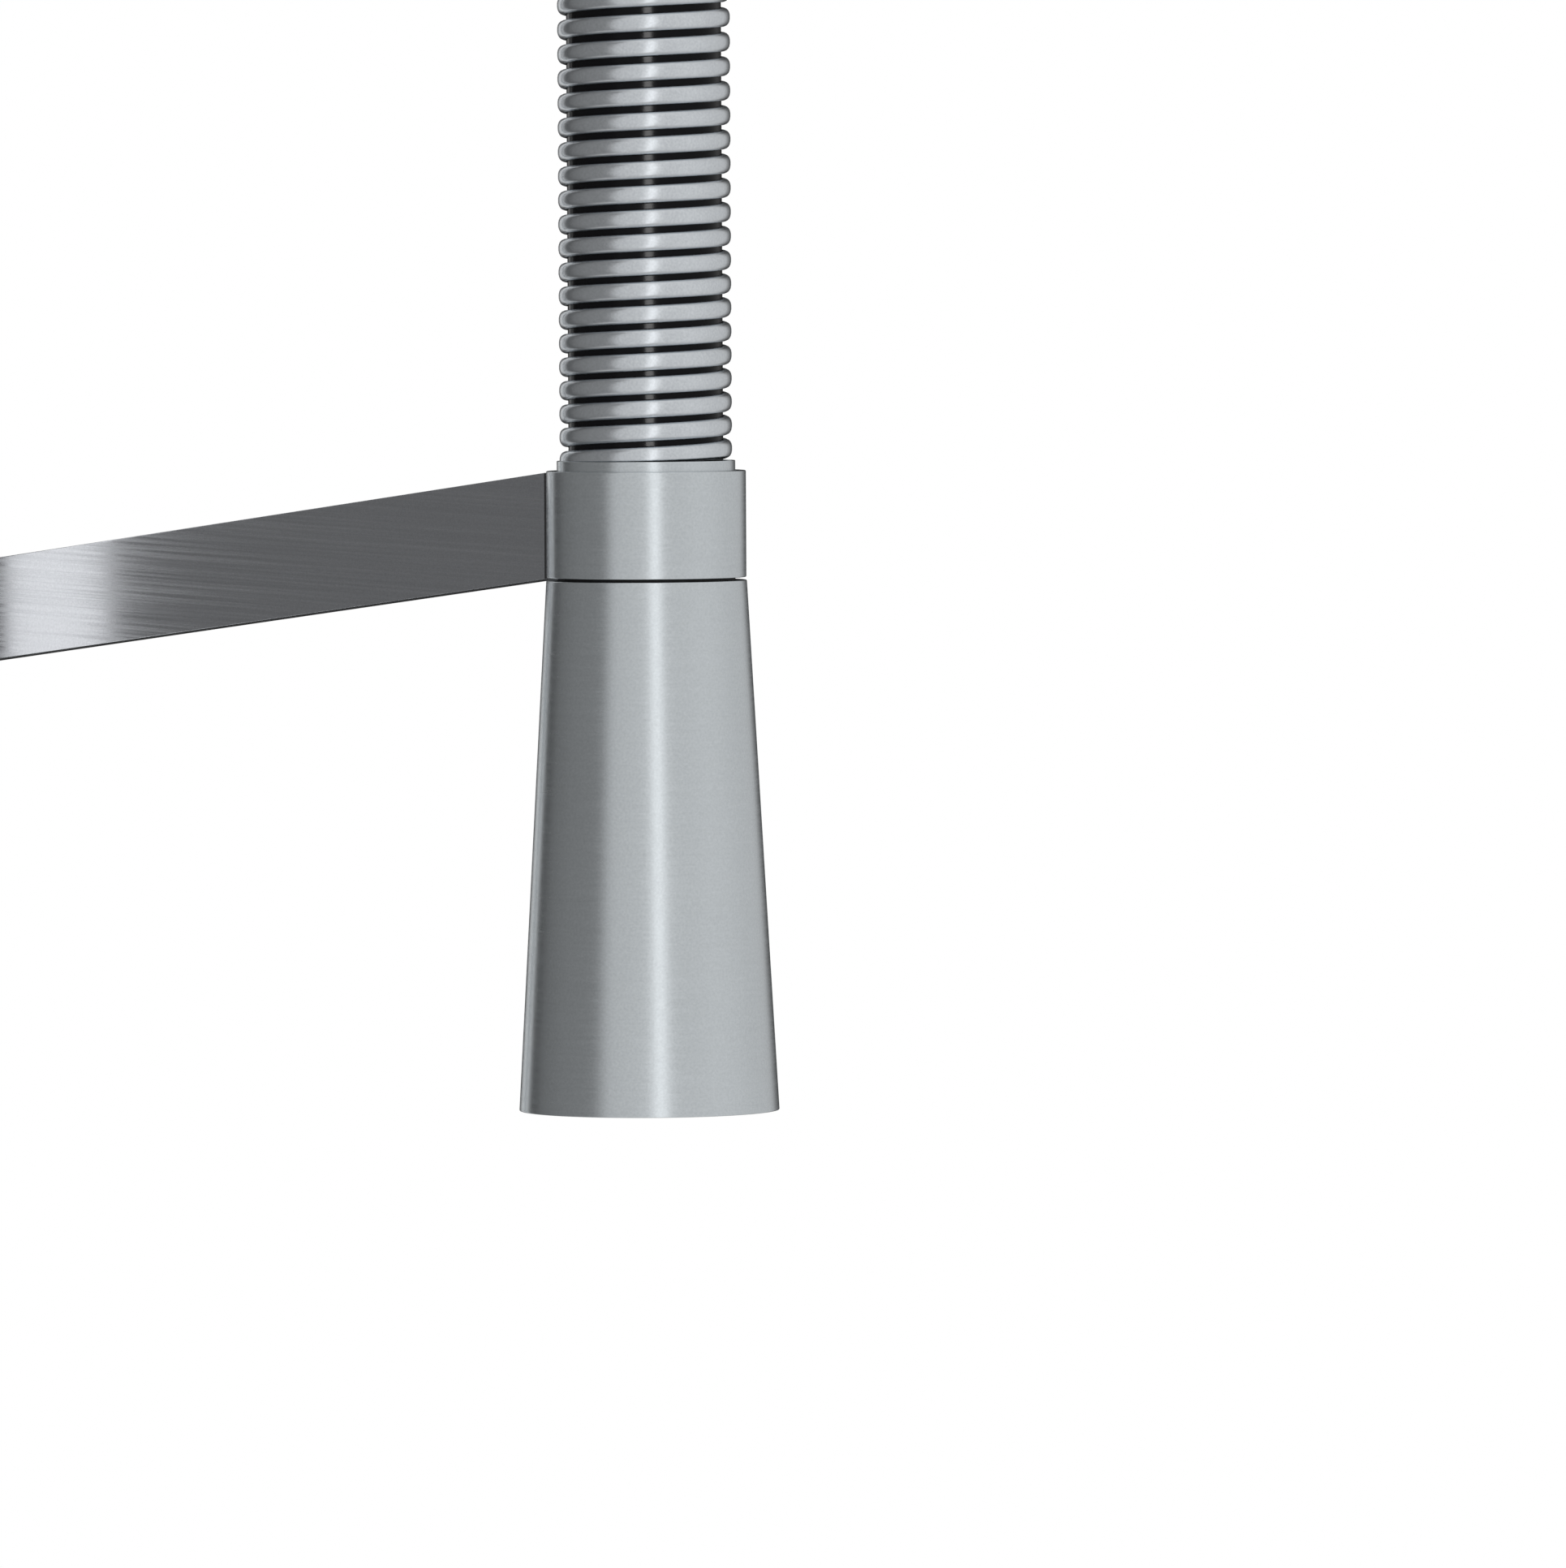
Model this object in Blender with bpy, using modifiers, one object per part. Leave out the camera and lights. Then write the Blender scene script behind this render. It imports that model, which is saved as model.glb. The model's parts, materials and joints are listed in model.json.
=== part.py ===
"""Pull-down kitchen faucet with a sprung spout and a flat docking arm.

A single-hole deck faucet. The deck surface is z = 0 and the riser stands on the Z axis. A flat arm
runs along +X from the riser to a docking collar, and the spray head hangs in that collar from a hose
inside a coil spring. The lever valve is on the +Y side, at the user's right hand.
"""

import math

import bmesh
import bpy
from mathutils import Vector

MM = 0.001
GAP = 0.3 * MM

# Driving dimensions
REACH = 220 * MM  # riser axis to spray head axis
BODY_R = 23 * MM
BODY_LOW = 6.6 * MM
BODY_TOP = 150 * MM
VALVE_Z = 80 * MM  # height of the valve's axis
RISER_R = 15 * MM
RISER_BORE_R = 12 * MM
RISER_TOP = 330 * MM
ARCH_Z = 400 * MM  # height at which the spring starts to bend over
ARCH_R = REACH / 2

HEAD_LOW = 200 * MM
HEAD_TOP = 285 * MM
HEAD_LOW_R = 20.87 * MM
HEAD_TOP_R = 16.08 * MM
HEAD_WALL = 1.5 * MM
HEAD_ROOF = 2.5 * MM  # thickness of the head's roof
BUMPER = (11.3 * MM, 14.3 * MM)  # radii of the rubber ring in the roof

COLLAR_LOW = 285.45 * MM
COLLAR_TOP = 302.55 * MM
COLLAR_R = 16 * MM
COLLAR_BORE_R = 14.6 * MM
SLEEVE_R = 14.3 * MM
SLEEVE_TOP = 304.15 * MM
SLEEVE_FLOOR = 291 * MM

ARM_HEIGHT = 17.15 * MM
ARM_THICK = 4 * MM
ARM_RISE = 0.1075  # rise of the arm for each unit of reach
ARM_END_Z = 294.2 * MM  # middle of the arm where it meets the collar
HUB_R = 19.5 * MM
HUB_HEIGHT = 24 * MM

SPRING_R = 13.85 * MM
WIRE_DEEP = 1.3 * MM  # the wire is D-shaped, its flat back on the hose
HOSE_R = 12.25 * MM
HOSE_BORE_R = 9 * MM

SHANK_R = 16 * MM
SHANK_BORE_R = 12.5 * MM
SHANK_LOW = -58 * MM
DECK = 25 * MM  # thickness of the deck it is clamped to

BOSS_R = 20.5 * MM
BOSS_END = 36.8 * MM  # from the body's axis, along the valve's axis
SEAT = 12 * MM
CARTRIDGE_R = 17.4 * MM
PIVOT = 33 * MM  # the lever's rocking pin
DOME_R = 20.9 * MM
CUP_R = 21.3 * MM
STEM_HALF = 3 * MM
LEVER_Y = 58 * MM
LEVER_END = 105 * MM

COARSE = 24  # sides of a large turned piece
SMALL = 12  # sides of a small one

HEAD = (REACH, 0, 0)
VALVE = (0, 0, VALVE_Z)
ALONG_Y = (-math.pi / 2, 0, 0)
ALONG_X = (0, math.pi / 2, 0)
INLET_X = 4.5 * MM
INLET_Y = 5.2 * MM
# x, height and radius of the hot, cold and mixed ports in the cartridge's seat
PORTS = ((INLET_X, 5.6 * MM, 2.8 * MM), (INLET_X, -5.6 * MM, 2.8 * MM), (-7.5 * MM, 0, 3.2 * MM))
SCREW_Z = 140 * MM  # height of the retaining screw and of the groove it runs in
RING_Z = (121 * MM, 129 * MM)  # heights of the two O-rings
NOZZLE_ROWS = ((6, 5 * MM), (12, 10 * MM), (18, 14.6 * MM))  # count and radius of each row

# name: (colour, roughness, metallic)
FINISHES = {
    "brushed_steel": ((0.42, 0.44, 0.46), 0.34, 1.0),
    "spring_steel": ((0.46, 0.48, 0.50), 0.28, 1.0),
    "plated_steel": ((0.36, 0.37, 0.38), 0.45, 1.0),
    "brass": ((0.62, 0.45, 0.18), 0.35, 1.0),
    "black_hose": ((0.012, 0.012, 0.013), 0.22, 0.0),
    "black_rubber": ((0.02, 0.02, 0.02), 0.7, 0.0),
    "grey_silicone": ((0.16, 0.17, 0.18), 0.6, 0.0),
    "white_plastic": ((0.78, 0.78, 0.75), 0.5, 0.0),
    "ceramic": ((0.85, 0.85, 0.83), 0.2, 0.0),
}


def clear_scene():
    for obj in list(bpy.data.objects):
        bpy.data.objects.remove(obj, do_unlink=True)


def new_collection(name):
    made = bpy.data.collections.new(name)
    bpy.context.scene.collection.children.link(made)
    return made


def finish_material(name):
    """The named finish, made once."""
    if name in bpy.data.materials:
        return bpy.data.materials[name]
    colour, roughness, metallic = FINISHES[name]
    made = bpy.data.materials.new(name)
    made.use_nodes = True
    shader = made.node_tree.nodes["Principled BSDF"]
    shader.inputs["Base Color"].default_value = (*colour, 1)
    shader.inputs["Roughness"].default_value = roughness
    shader.inputs["Metallic"].default_value = metallic
    made.diffuse_color = (*colour, 1)
    return made


def add_object(name, data, finish, location=(0, 0, 0), rotation=(0, 0, 0)):
    obj = bpy.data.objects.new(name, data)
    obj.location = location
    obj.rotation_euler = rotation
    if finish:
        data.materials.append(finish_material(finish))
        PIECES.objects.link(obj)
    else:
        obj.display_type = "WIRE"
        obj.hide_render = True
        CUTTERS.objects.link(obj)
    return obj


def arc(radius, start, stop, steps, centre=0.0):
    """Points (r, height) on a circle centred on the axis, with angles in degrees from the axis."""
    angles = [math.radians(start + (stop - start) * i / steps) for i in range(steps + 1)]
    return [(radius * math.sin(a), centre + radius * math.cos(a)) for a in angles]


def turned(name, profile, finish, location=(0, 0, 0), rotation=(0, 0, 0), sides=COARSE):
    """A turned piece. The profile runs down the outer side from the top; one that doesn't start on the
    axis is closed into a ring."""
    mesh = bpy.data.meshes.new(name)
    count = len(profile)
    edges = [(i, i + 1) for i in range(count - 1)]
    if profile[0][0] > 0:
        edges.append((count - 1, 0))
    mesh.from_pydata([(r, 0, h) for r, h in profile], edges, [])
    obj = add_object(name, mesh, finish, location, rotation)
    screw = obj.modifiers.new("Turn", "SCREW")
    screw.steps = sides
    screw.render_steps = sides
    screw.use_merge_vertices = True
    screw.merge_threshold = 0.01 * MM
    return obj


def ring(name, outer, inner, low, high, finish, **where):
    """A plain tube or washer."""
    profile = [(outer, high), (outer, low), (inner, low), (inner, high)]
    return turned(name, profile, finish, **where)


def disc(name, radius, low, high, finish, **where):
    """A plain solid disc or rod."""
    profile = [(0, high), (radius, high), (radius, low), (0, low)]
    return turned(name, profile, finish, **where)


def o_ring(name, major, minor, height, **where):
    steps = 8
    angles = [2 * math.pi * i / steps for i in range(steps)]
    profile = [(major + minor * math.cos(a), height - minor * math.sin(a)) for a in angles]
    return turned(name, profile, "black_rubber", **where)


def box(name, centre, size, finish=None, location=(0, 0, 0)):
    mesh = bpy.data.meshes.new(name)
    cage = bmesh.new()
    bmesh.ops.create_cube(cage, size=1.0)
    bmesh.ops.scale(cage, vec=size, verts=cage.verts)
    bmesh.ops.translate(cage, vec=centre, verts=cage.verts)
    cage.to_mesh(mesh)
    cage.free()
    return add_object(name, mesh, finish, location)


def rod_cutter(name, radius, low, high, location=(0, 0, 0), rotation=(0, 0, 0), sides=SMALL):
    return disc(name, radius, low, high, None, location=location, rotation=rotation, sides=sides)


def boolean(obj, other, operation="DIFFERENCE"):
    step = obj.modifiers.new(other.name, "BOOLEAN")
    step.operation = operation
    step.solver = "EXACT"
    step.object = other
    return obj


def shade(obj):
    """Smooth shading, for a piece that is a mesh."""
    if obj.type == "MESH":
        obj.data.shade_smooth()


def arch_route():
    """Up from the riser, over in a half circle and down to the docking collar."""
    steps = 18
    points = [Vector((0, 0, RISER_TOP + 6.4 * MM))]
    for i in range(steps + 1):
        a = math.pi - math.pi * i / steps
        points.append(Vector((ARCH_R + ARCH_R * math.cos(a), 0, ARCH_Z + ARCH_R * math.sin(a))))
    return points


def swept(name, points, radius, finish):
    """A round bar along a route, as a closed mesh."""
    curve = bpy.data.curves.new(name, "CURVE")
    curve.dimensions = "3D"
    curve.bevel_depth = radius
    curve.bevel_resolution = 4
    curve.use_fill_caps = True
    line = curve.splines.new("POLY")
    line.points.add(len(points) - 1)
    for point, place in zip(line.points, points):
        point.co = (*place, 1)
    guide = bpy.data.objects.new(name + "_guide", curve)
    bpy.context.scene.collection.objects.link(guide)
    bpy.context.view_layer.update()
    graph = bpy.context.evaluated_depsgraph_get()
    mesh = bpy.data.meshes.new_from_object(guide.evaluated_get(graph))
    bpy.data.objects.remove(guide, do_unlink=True)
    bpy.data.curves.remove(curve)
    mesh.name = name
    cage = bmesh.new()
    cage.from_mesh(mesh)
    bmesh.ops.remove_doubles(cage, verts=cage.verts, dist=0.01 * MM)
    bmesh.ops.recalc_face_normals(cage, faces=cage.faces)
    cage.to_mesh(mesh)
    cage.free()
    mesh.materials.clear()
    return add_object(name, mesh, finish)


def pipe_along(name, points, outer, inner, finish):
    """A hollow pipe along a route, open at both ends."""
    start = points[0] + (points[0] - points[1]).normalized() * 2 * MM
    end = points[-1] + (points[-1] - points[-2]).normalized() * 2 * MM
    bore = swept(name + "_bore", [start, *points[1:-1], end], inner, None)
    return boolean(swept(name, points, outer, finish), bore)


# Below the deck and the base -----------------------------------------------------------------------


def make_mounting_shank():
    top = BODY_LOW + 11.7 * MM
    return ring("mounting_shank", SHANK_R, SHANK_BORE_R, SHANK_LOW, top, "brass")


def make_shank_nut():
    low = -DECK - 14 * MM
    high = -DECK - 6.1 * MM
    nut = disc("shank_nut", 26 * MM, low, high, "brass", sides=6)
    hole = rod_cutter("shank_nut_hole", SHANK_R + 0.45 * MM, low - MM, high + MM, sides=COARSE)
    return boolean(nut, hole)


def make_washers():
    outer = 26 * MM
    inner = SHANK_R + 0.6 * MM
    top = -DECK
    rubber = ring("rubber_washer", outer, inner, top - 3 * MM, top, "black_rubber")
    steel = ring("clamp_washer", outer, inner, top - 5.8 * MM, top - 3.3 * MM, "plated_steel")
    return rubber, steel


def make_base_ring():
    """The foot on the deck, with a groove for the gasket on its underside."""
    outer = 28 * MM
    high = BODY_LOW - GAP
    profile = [
        (26.5 * MM, high),
        (outer, high - 1.5 * MM),
        (outer, 0),
        (26.8 * MM, 0),
        (26.8 * MM, 1.8 * MM),
        (23.5 * MM, 1.8 * MM),
        (23.5 * MM, 0),
        (16.6 * MM, 0),
        (16.6 * MM, high),
    ]
    return turned("base_ring", profile, "brushed_steel")


def make_base_gasket():
    return ring("base_gasket", 26.5 * MM, 23.8 * MM, 0, 1.5 * MM, "black_rubber")


def make_inlet_nipple(name, y):
    return ring(
        name, 4 * MM, 2.6 * MM, -MM, 25.7 * MM, "brass", location=(INLET_X, y, 0), sides=SMALL
    )


# Valve body and cartridge --------------------------------------------------------------------------


def cut_waterways(body):
    """Two inlets rise from the shank to the seat, and one outlet rises from the seat to the swivel."""
    socket = 18 * MM
    for tag, y, port in (("hot", -INLET_Y, PORTS[0]), ("cold", INLET_Y, PORTS[1])):
        x, height, radius = port
        foot = (x, y, 0)
        boolean(body, rod_cutter(tag + "_thread", 4.3 * MM, socket, 26 * MM, foot))
        boolean(body, rod_cutter(tag + "_rise", 2.6 * MM, socket + MM, VALVE_Z + height, foot))
        seat = (x, 0, VALVE_Z + height)
        boolean(body, rod_cutter(tag + "_seat", radius, y - MM, SEAT + MM, seat, ALONG_Y))
    x, height, radius = PORTS[2]
    boolean(body, rod_cutter("mixed_seat", radius, -MM, SEAT + MM, (x, 0, VALVE_Z), ALONG_Y))
    boolean(body, rod_cutter("mixed_rise", radius - 0.2 * MM, VALVE_Z, 113 * MM, (x, 0, 0)))


def make_valve_body():
    bore = 18.3 * MM
    floor = 112 * MM
    socket = SHANK_R + GAP
    edge = 0.6 * MM
    profile = [
        (0, floor),
        (bore, floor),
        (bore, BODY_TOP),
        (BODY_R - edge, BODY_TOP),
        (BODY_R, BODY_TOP - edge),
        (BODY_R, BODY_LOW + edge),
        (BODY_R - edge, BODY_LOW),
        (socket, BODY_LOW),
        (socket, BODY_LOW + 12 * MM),
        (0, BODY_LOW + 12 * MM),
    ]
    body = turned("valve_body", profile, "brushed_steel")
    boss = rod_cutter("valve_boss", BOSS_R, MM, BOSS_END, VALVE, ALONG_Y, COARSE)
    boolean(body, boss, "UNION")
    bore_r = CARTRIDGE_R + 0.4 * MM
    boolean(body, rod_cutter("cartridge_bore", bore_r, SEAT, BOSS_END + MM, VALVE, ALONG_Y, COARSE))
    cut_waterways(body)
    place = (0, 0, SCREW_Z)
    boolean(body, rod_cutter("screw_hole", 2.3 * MM, -30 * MM, -10 * MM, place, ALONG_X))
    return body


def ported_disc(name, radius, low, high, finish):
    """A disc in the cartridge with the two inlets and the outlet through it."""
    made = disc(name, radius, low, high, finish, location=VALVE, rotation=ALONG_Y)
    for i, (x, height, hole) in enumerate(PORTS):
        cutter = rod_cutter(
            f"{name}_port_{i}", hole, low - MM, high + MM, (x, 0, VALVE_Z + height), ALONG_Y
        )
        boolean(made, cutter)
    return made


def make_cartridge_housing():
    profile = [
        (CARTRIDGE_R, 32 * MM),
        (CARTRIDGE_R, 17.9 * MM),
        (15.2 * MM, 17.9 * MM),
        (15.2 * MM, 29.6 * MM),
        (9.2 * MM, 29.6 * MM),
        (9.2 * MM, 32 * MM),
    ]
    return turned(
        "cartridge_housing", profile, "white_plastic", location=VALVE, rotation=ALONG_Y
    )


def make_cartridge_nut():
    return ring(
        "cartridge_nut", CARTRIDGE_R, 11.5 * MM, 32.3 * MM, 38.5 * MM, "brass",
        location=VALVE, rotation=ALONG_Y,
    )


def make_bonnet():
    """A dome centred on the rocking pin, so that the handle's cup slides over it."""
    wall = 1.5 * MM
    edge = math.degrees(math.asin(BOSS_R / DOME_R))
    mouth = math.degrees(math.asin(11.2 * MM / DOME_R))
    outside = arc(DOME_R, mouth, edge, 8, PIVOT)
    inside = arc(DOME_R - wall, edge - 8, mouth + 1, 6, PIVOT)
    foot = outside[-1][1]
    profile = [*outside, (inside[0][0], foot), *inside]
    return turned("bonnet", profile, "brushed_steel", location=VALVE, rotation=ALONG_Y)


def make_moving_disc():
    """The ceramic disc that the stem slides, with the mixing pocket on its underside."""
    low = 21.7 * MM
    high = 26.2 * MM
    made = disc("moving_disc", 11.2 * MM, low, high, "ceramic", location=VALVE, rotation=ALONG_Y)
    socket = rod_cutter("stem_socket", 2.9 * MM, high - 3.2 * MM, high + MM, VALVE, ALONG_Y)
    boolean(made, socket)
    pocket_at = (-4 * MM, 0, VALVE_Z)
    pocket = rod_cutter("mixing_pocket", 5.4 * MM, low - MM, low + 0.9 * MM, pocket_at, ALONG_Y)
    return boolean(made, pocket)


def make_cartridge_rotor():
    """Turns for temperature, and holds the pin that the stem rocks on."""
    neck = 8.6 * MM
    flange = 14.6 * MM
    profile = [
        (0, 37 * MM),
        (neck, 37 * MM),
        (neck, 29.3 * MM),
        (flange, 29.3 * MM),
        (flange, 26.5 * MM),
        (0, 26.5 * MM),
    ]
    made = turned(
        "cartridge_rotor", profile, "white_plastic", location=VALVE, rotation=ALONG_Y
    )
    slot = box("stem_slot", (0, 32 * MM, VALVE_Z), (10.8 * MM, 14 * MM, 2 * STEM_HALF + 0.8 * MM))
    boolean(made, slot)
    place = (0, PIVOT, VALVE_Z)
    return boolean(made, rod_cutter("rotor_pin_hole", 1.6 * MM, -10 * MM, 10 * MM, place))


def make_stem_pin():
    half = 8 * MM
    return disc(
        "stem_pin", 1.2 * MM, -half, half, "plated_steel", location=(0, PIVOT, VALVE_Z), sides=SMALL
    )


def make_lever_stem():
    """A square bar above the pin and a round finger below it."""
    low = 30 * MM
    high = 62 * MM
    made = box(
        "lever_stem",
        (0, (low + high) / 2, 0),
        (2 * STEM_HALF, high - low, 2 * STEM_HALF),
        "plated_steel",
        location=VALVE,
    )
    finger = [
        (0, low + MM),
        (2 * MM, low + MM),
        (2 * MM, 25.2 * MM),
        (1.2 * MM, 24.2 * MM),
        (0, 24.2 * MM),
    ]
    finger = turned("stem_finger", finger, None, location=VALVE, rotation=ALONG_Y, sides=SMALL)
    boolean(made, finger, "UNION")
    place = (0, PIVOT, VALVE_Z)
    return boolean(made, rod_cutter("stem_pin_hole", 1.6 * MM, -10 * MM, 10 * MM, place))


def make_handle_hub():
    """A cap whose hollow is a sphere about the rocking pin."""
    high = 64 * MM
    rim = math.degrees(math.acos(11.4 * MM / CUP_R))
    inside = arc(CUP_R, rim, 0, 8, PIVOT)
    edge = 1.2 * MM
    profile = [
        (0, high),
        (BOSS_R - edge, high),
        (BOSS_R, high - edge),
        (BOSS_R, PIVOT + 11.4 * MM),
        *inside[:-1],
        (0, PIVOT + CUP_R),
    ]
    hub = turned("handle_hub", profile, "brushed_steel", location=VALVE, rotation=ALONG_Y)
    side = 2 * STEM_HALF + 2 * GAP
    boolean(hub, box("stem_hole", (0, 56.2 * MM, VALVE_Z), (side, 12.4 * MM, side)))
    place = (0, LEVER_Y, VALVE_Z)
    boolean(hub, rod_cutter("hub_screw_hole", 2.8 * MM, -25 * MM, -2 * MM, place))
    boolean(hub, rod_cutter("hub_lever_hole", 3.3 * MM, 9 * MM, 25 * MM, place, ALONG_X))
    return hub


def make_handle_lever():
    """A slim round lever with a stud that screws into the hub."""
    shoulder = BOSS_R + GAP
    profile = [
        (0, LEVER_END),
        (2.4 * MM, LEVER_END),
        (3.6 * MM, LEVER_END - 1.2 * MM),
        (4.4 * MM, shoulder + 0.6 * MM),
        (4 * MM, shoulder),
        (3 * MM, shoulder),
        (3 * MM, 9.5 * MM),
        (0, 9.5 * MM),
    ]
    place = (0, LEVER_Y, VALVE_Z)
    return turned(
        "handle_lever", profile, "brushed_steel", location=place, rotation=ALONG_X, sides=16
    )


def make_handle_screw():
    place = (0, LEVER_Y, VALVE_Z)
    head = -STEM_HALF - 0.6 * MM
    return disc(
        "handle_screw", 2.5 * MM, head - 8 * MM, head, "plated_steel", location=place, sides=SMALL
    )


def make_handle_plug():
    place = (0, LEVER_Y, VALVE_Z)
    return disc(
        "handle_plug", 2.5 * MM, -20.2 * MM, -16 * MM, "grey_silicone", location=place, sides=SMALL
    )


# Swivel and riser ----------------------------------------------------------------------------------


def make_swivel_bush():
    bush = ring("swivel_bush", 18 * MM, 15.8 * MM, 112.4 * MM, 148 * MM, "white_plastic")
    place = (0, 0, SCREW_Z)
    return boolean(bush, rod_cutter("bush_hole", 2.3 * MM, -25 * MM, -10 * MM, place, ALONG_X))


def make_retaining_screw():
    return disc(
        "retaining_screw", 2 * MM, -22.4 * MM, -14.2 * MM, "plated_steel",
        location=(0, 0, SCREW_Z), rotation=ALONG_X, sides=SMALL,
    )


def make_swivel_spigot():
    """Plugs the riser into the body, with two grooves for O-rings and one for the retaining screw."""
    outer = 15.4 * MM
    groove = 12.6 * MM
    profile = [(11.7 * MM, 165 * MM), (11.7 * MM, 150.2 * MM), (outer, 150.2 * MM)]
    for height, half, depth in (
        (SCREW_Z, 2.6 * MM, 13.4 * MM),
        (RING_Z[1], 1.7 * MM, groove),
        (RING_Z[0], 1.7 * MM, groove),
    ):
        profile += [
            (outer, height + half),
            (depth, height + half),
            (depth, height - half),
            (outer, height - half),
        ]
    profile += [(outer, 113 * MM), (8 * MM, 113 * MM), (8 * MM, 165 * MM)]
    return turned("swivel_spigot", profile, "brass")


def make_swivel_o_rings():
    lower = o_ring("lower_o_ring", 14.2 * MM, 1.3 * MM, RING_Z[0])
    upper = o_ring("upper_o_ring", 14.2 * MM, 1.3 * MM, RING_Z[1])
    return lower, upper


def make_swivel_collar():
    low = BODY_TOP + 0.6 * MM
    high = low + 9.4 * MM
    profile = [
        (19.5 * MM, high),
        (BODY_R, high - 3.5 * MM),
        (BODY_R, low),
        (RISER_R + GAP, low),
        (RISER_R + GAP, high),
    ]
    return turned("swivel_collar", profile, "brushed_steel")


def make_riser_tube():
    return ring(
        "riser_tube", RISER_R, RISER_BORE_R, BODY_TOP + 0.5 * MM, RISER_TOP, "brushed_steel"
    )


def make_spring_seat():
    """Closes the riser and carries the spring, with a low rim like the sleeve at the other end."""
    profile = [
        (SLEEVE_R, RISER_TOP + 6.1 * MM),
        (SLEEVE_R, RISER_TOP + 4.5 * MM),
        (COLLAR_R, RISER_TOP + 4.5 * MM),
        (COLLAR_R, RISER_TOP + GAP),
        (11.7 * MM, RISER_TOP + GAP),
        (11.7 * MM, RISER_TOP - 12 * MM),
        (6 * MM, RISER_TOP - 12 * MM),
        (6 * MM, RISER_TOP + 6.1 * MM),
    ]
    return turned("spring_seat", profile, "brushed_steel")


def make_riser_nipple():
    return ring(
        "riser_nipple", 5.6 * MM, 4 * MM, RISER_TOP - 10 * MM, RISER_TOP + 30 * MM, "brass",
        sides=SMALL,
    )


def make_upper_ferrule():
    """A sleeve pressed into the hose's bore, round the riser's nipple."""
    low = RISER_TOP + 7 * MM
    outer = HOSE_BORE_R - GAP
    return ring("upper_ferrule", outer, 5.9 * MM, low, low + 18 * MM, "plated_steel", sides=SMALL)


# Docking arm ---------------------------------------------------------------------------------------


def arm_middle(x):
    """Height of the arm's middle line at a distance x from the riser's axis."""
    return ARM_END_Z - ARM_RISE * (REACH - COLLAR_R - x)


def make_arm_hub():
    middle = arm_middle(0)
    edge = 0.8 * MM
    high = middle + HUB_HEIGHT / 2
    low = middle - HUB_HEIGHT / 2
    profile = [
        (HUB_R - edge, high),
        (HUB_R, high - edge),
        (HUB_R, low + edge),
        (HUB_R - edge, low),
        (RISER_R + GAP, low),
        (RISER_R + GAP, high),
    ]
    hub = turned("arm_hub", profile, "brushed_steel")
    place = (0, 0, middle)
    return boolean(hub, rod_cutter("hub_hole", 2.3 * MM, -25 * MM, -10 * MM, place, ALONG_X))


def make_hub_screw():
    return disc(
        "hub_screw", 2 * MM, -19 * MM, -15.3 * MM, "plated_steel",
        location=(0, 0, arm_middle(0)), rotation=ALONG_X, sides=SMALL,
    )


def make_support_arm():
    """A flat bar on edge, its ends hollowed to the hub and to the collar."""
    ends = (14 * MM, REACH - 12 * MM)
    half = ARM_HEIGHT / 2
    corners = [(x, arm_middle(x) - half) for x in ends]
    corners += [(x, arm_middle(x) + half) for x in reversed(ends)]
    mesh = bpy.data.meshes.new("support_arm")
    cage = bmesh.new()
    face = cage.faces.new([cage.verts.new((x, -ARM_THICK / 2, z)) for x, z in corners])
    grown = bmesh.ops.extrude_face_region(cage, geom=[face])
    moved = [item for item in grown["geom"] if isinstance(item, bmesh.types.BMVert)]
    bmesh.ops.translate(cage, vec=(0, ARM_THICK, 0), verts=moved)
    bmesh.ops.recalc_face_normals(cage, faces=cage.faces)
    cage.to_mesh(mesh)
    cage.free()
    arm = add_object("support_arm", mesh, "brushed_steel")
    low = 240 * MM
    high = 320 * MM
    boolean(arm, rod_cutter("arm_hub_end", HUB_R + GAP, low, high, sides=48))
    return boolean(arm, rod_cutter("arm_collar_end", COLLAR_R + GAP, low, high, HEAD, sides=48))


def make_dock_collar():
    return ring(
        "dock_collar", COLLAR_R, COLLAR_BORE_R, COLLAR_LOW, COLLAR_TOP, "brushed_steel",
        location=HEAD,
    )


# Spring, hose and what travels with their lower end ------------------------------------------------


def make_coil_spring():
    """The spring's envelope: as deep as its wire, along the whole arch."""
    route = [*arch_route(), Vector((REACH, 0, SLEEVE_TOP + GAP))]
    return pipe_along("coil_spring", route, SPRING_R, SPRING_R - WIRE_DEEP, "spring_steel")


def make_spray_hose():
    route = [*arch_route(), Vector((REACH, 0, SLEEVE_FLOOR + GAP))]
    return pipe_along("spray_hose", route, HOSE_R, HOSE_BORE_R, "black_hose")


def make_dock_sleeve():
    """A thin cup on the spring's lower end, which slides in the collar."""
    low = 285.9 * MM
    bore = 6.3 * MM
    wall = 0.45 * MM
    profile = [
        (SLEEVE_R, SLEEVE_TOP),
        (SLEEVE_R, low),
        (bore, low),
        (bore, SLEEVE_FLOOR),
        (SLEEVE_R - wall, SLEEVE_FLOOR),
        (SLEEVE_R - wall, SLEEVE_TOP),
    ]
    return turned("dock_sleeve", profile, "brushed_steel", location=HEAD)


def make_lower_ferrule():
    """A band round the hose's lower end, inside the sleeve."""
    low = SLEEVE_FLOOR + 0.4 * MM
    return ring(
        "lower_ferrule", 13.4 * MM, HOSE_R + 0.4 * MM, low, 303 * MM, "plated_steel", location=HEAD
    )


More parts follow.
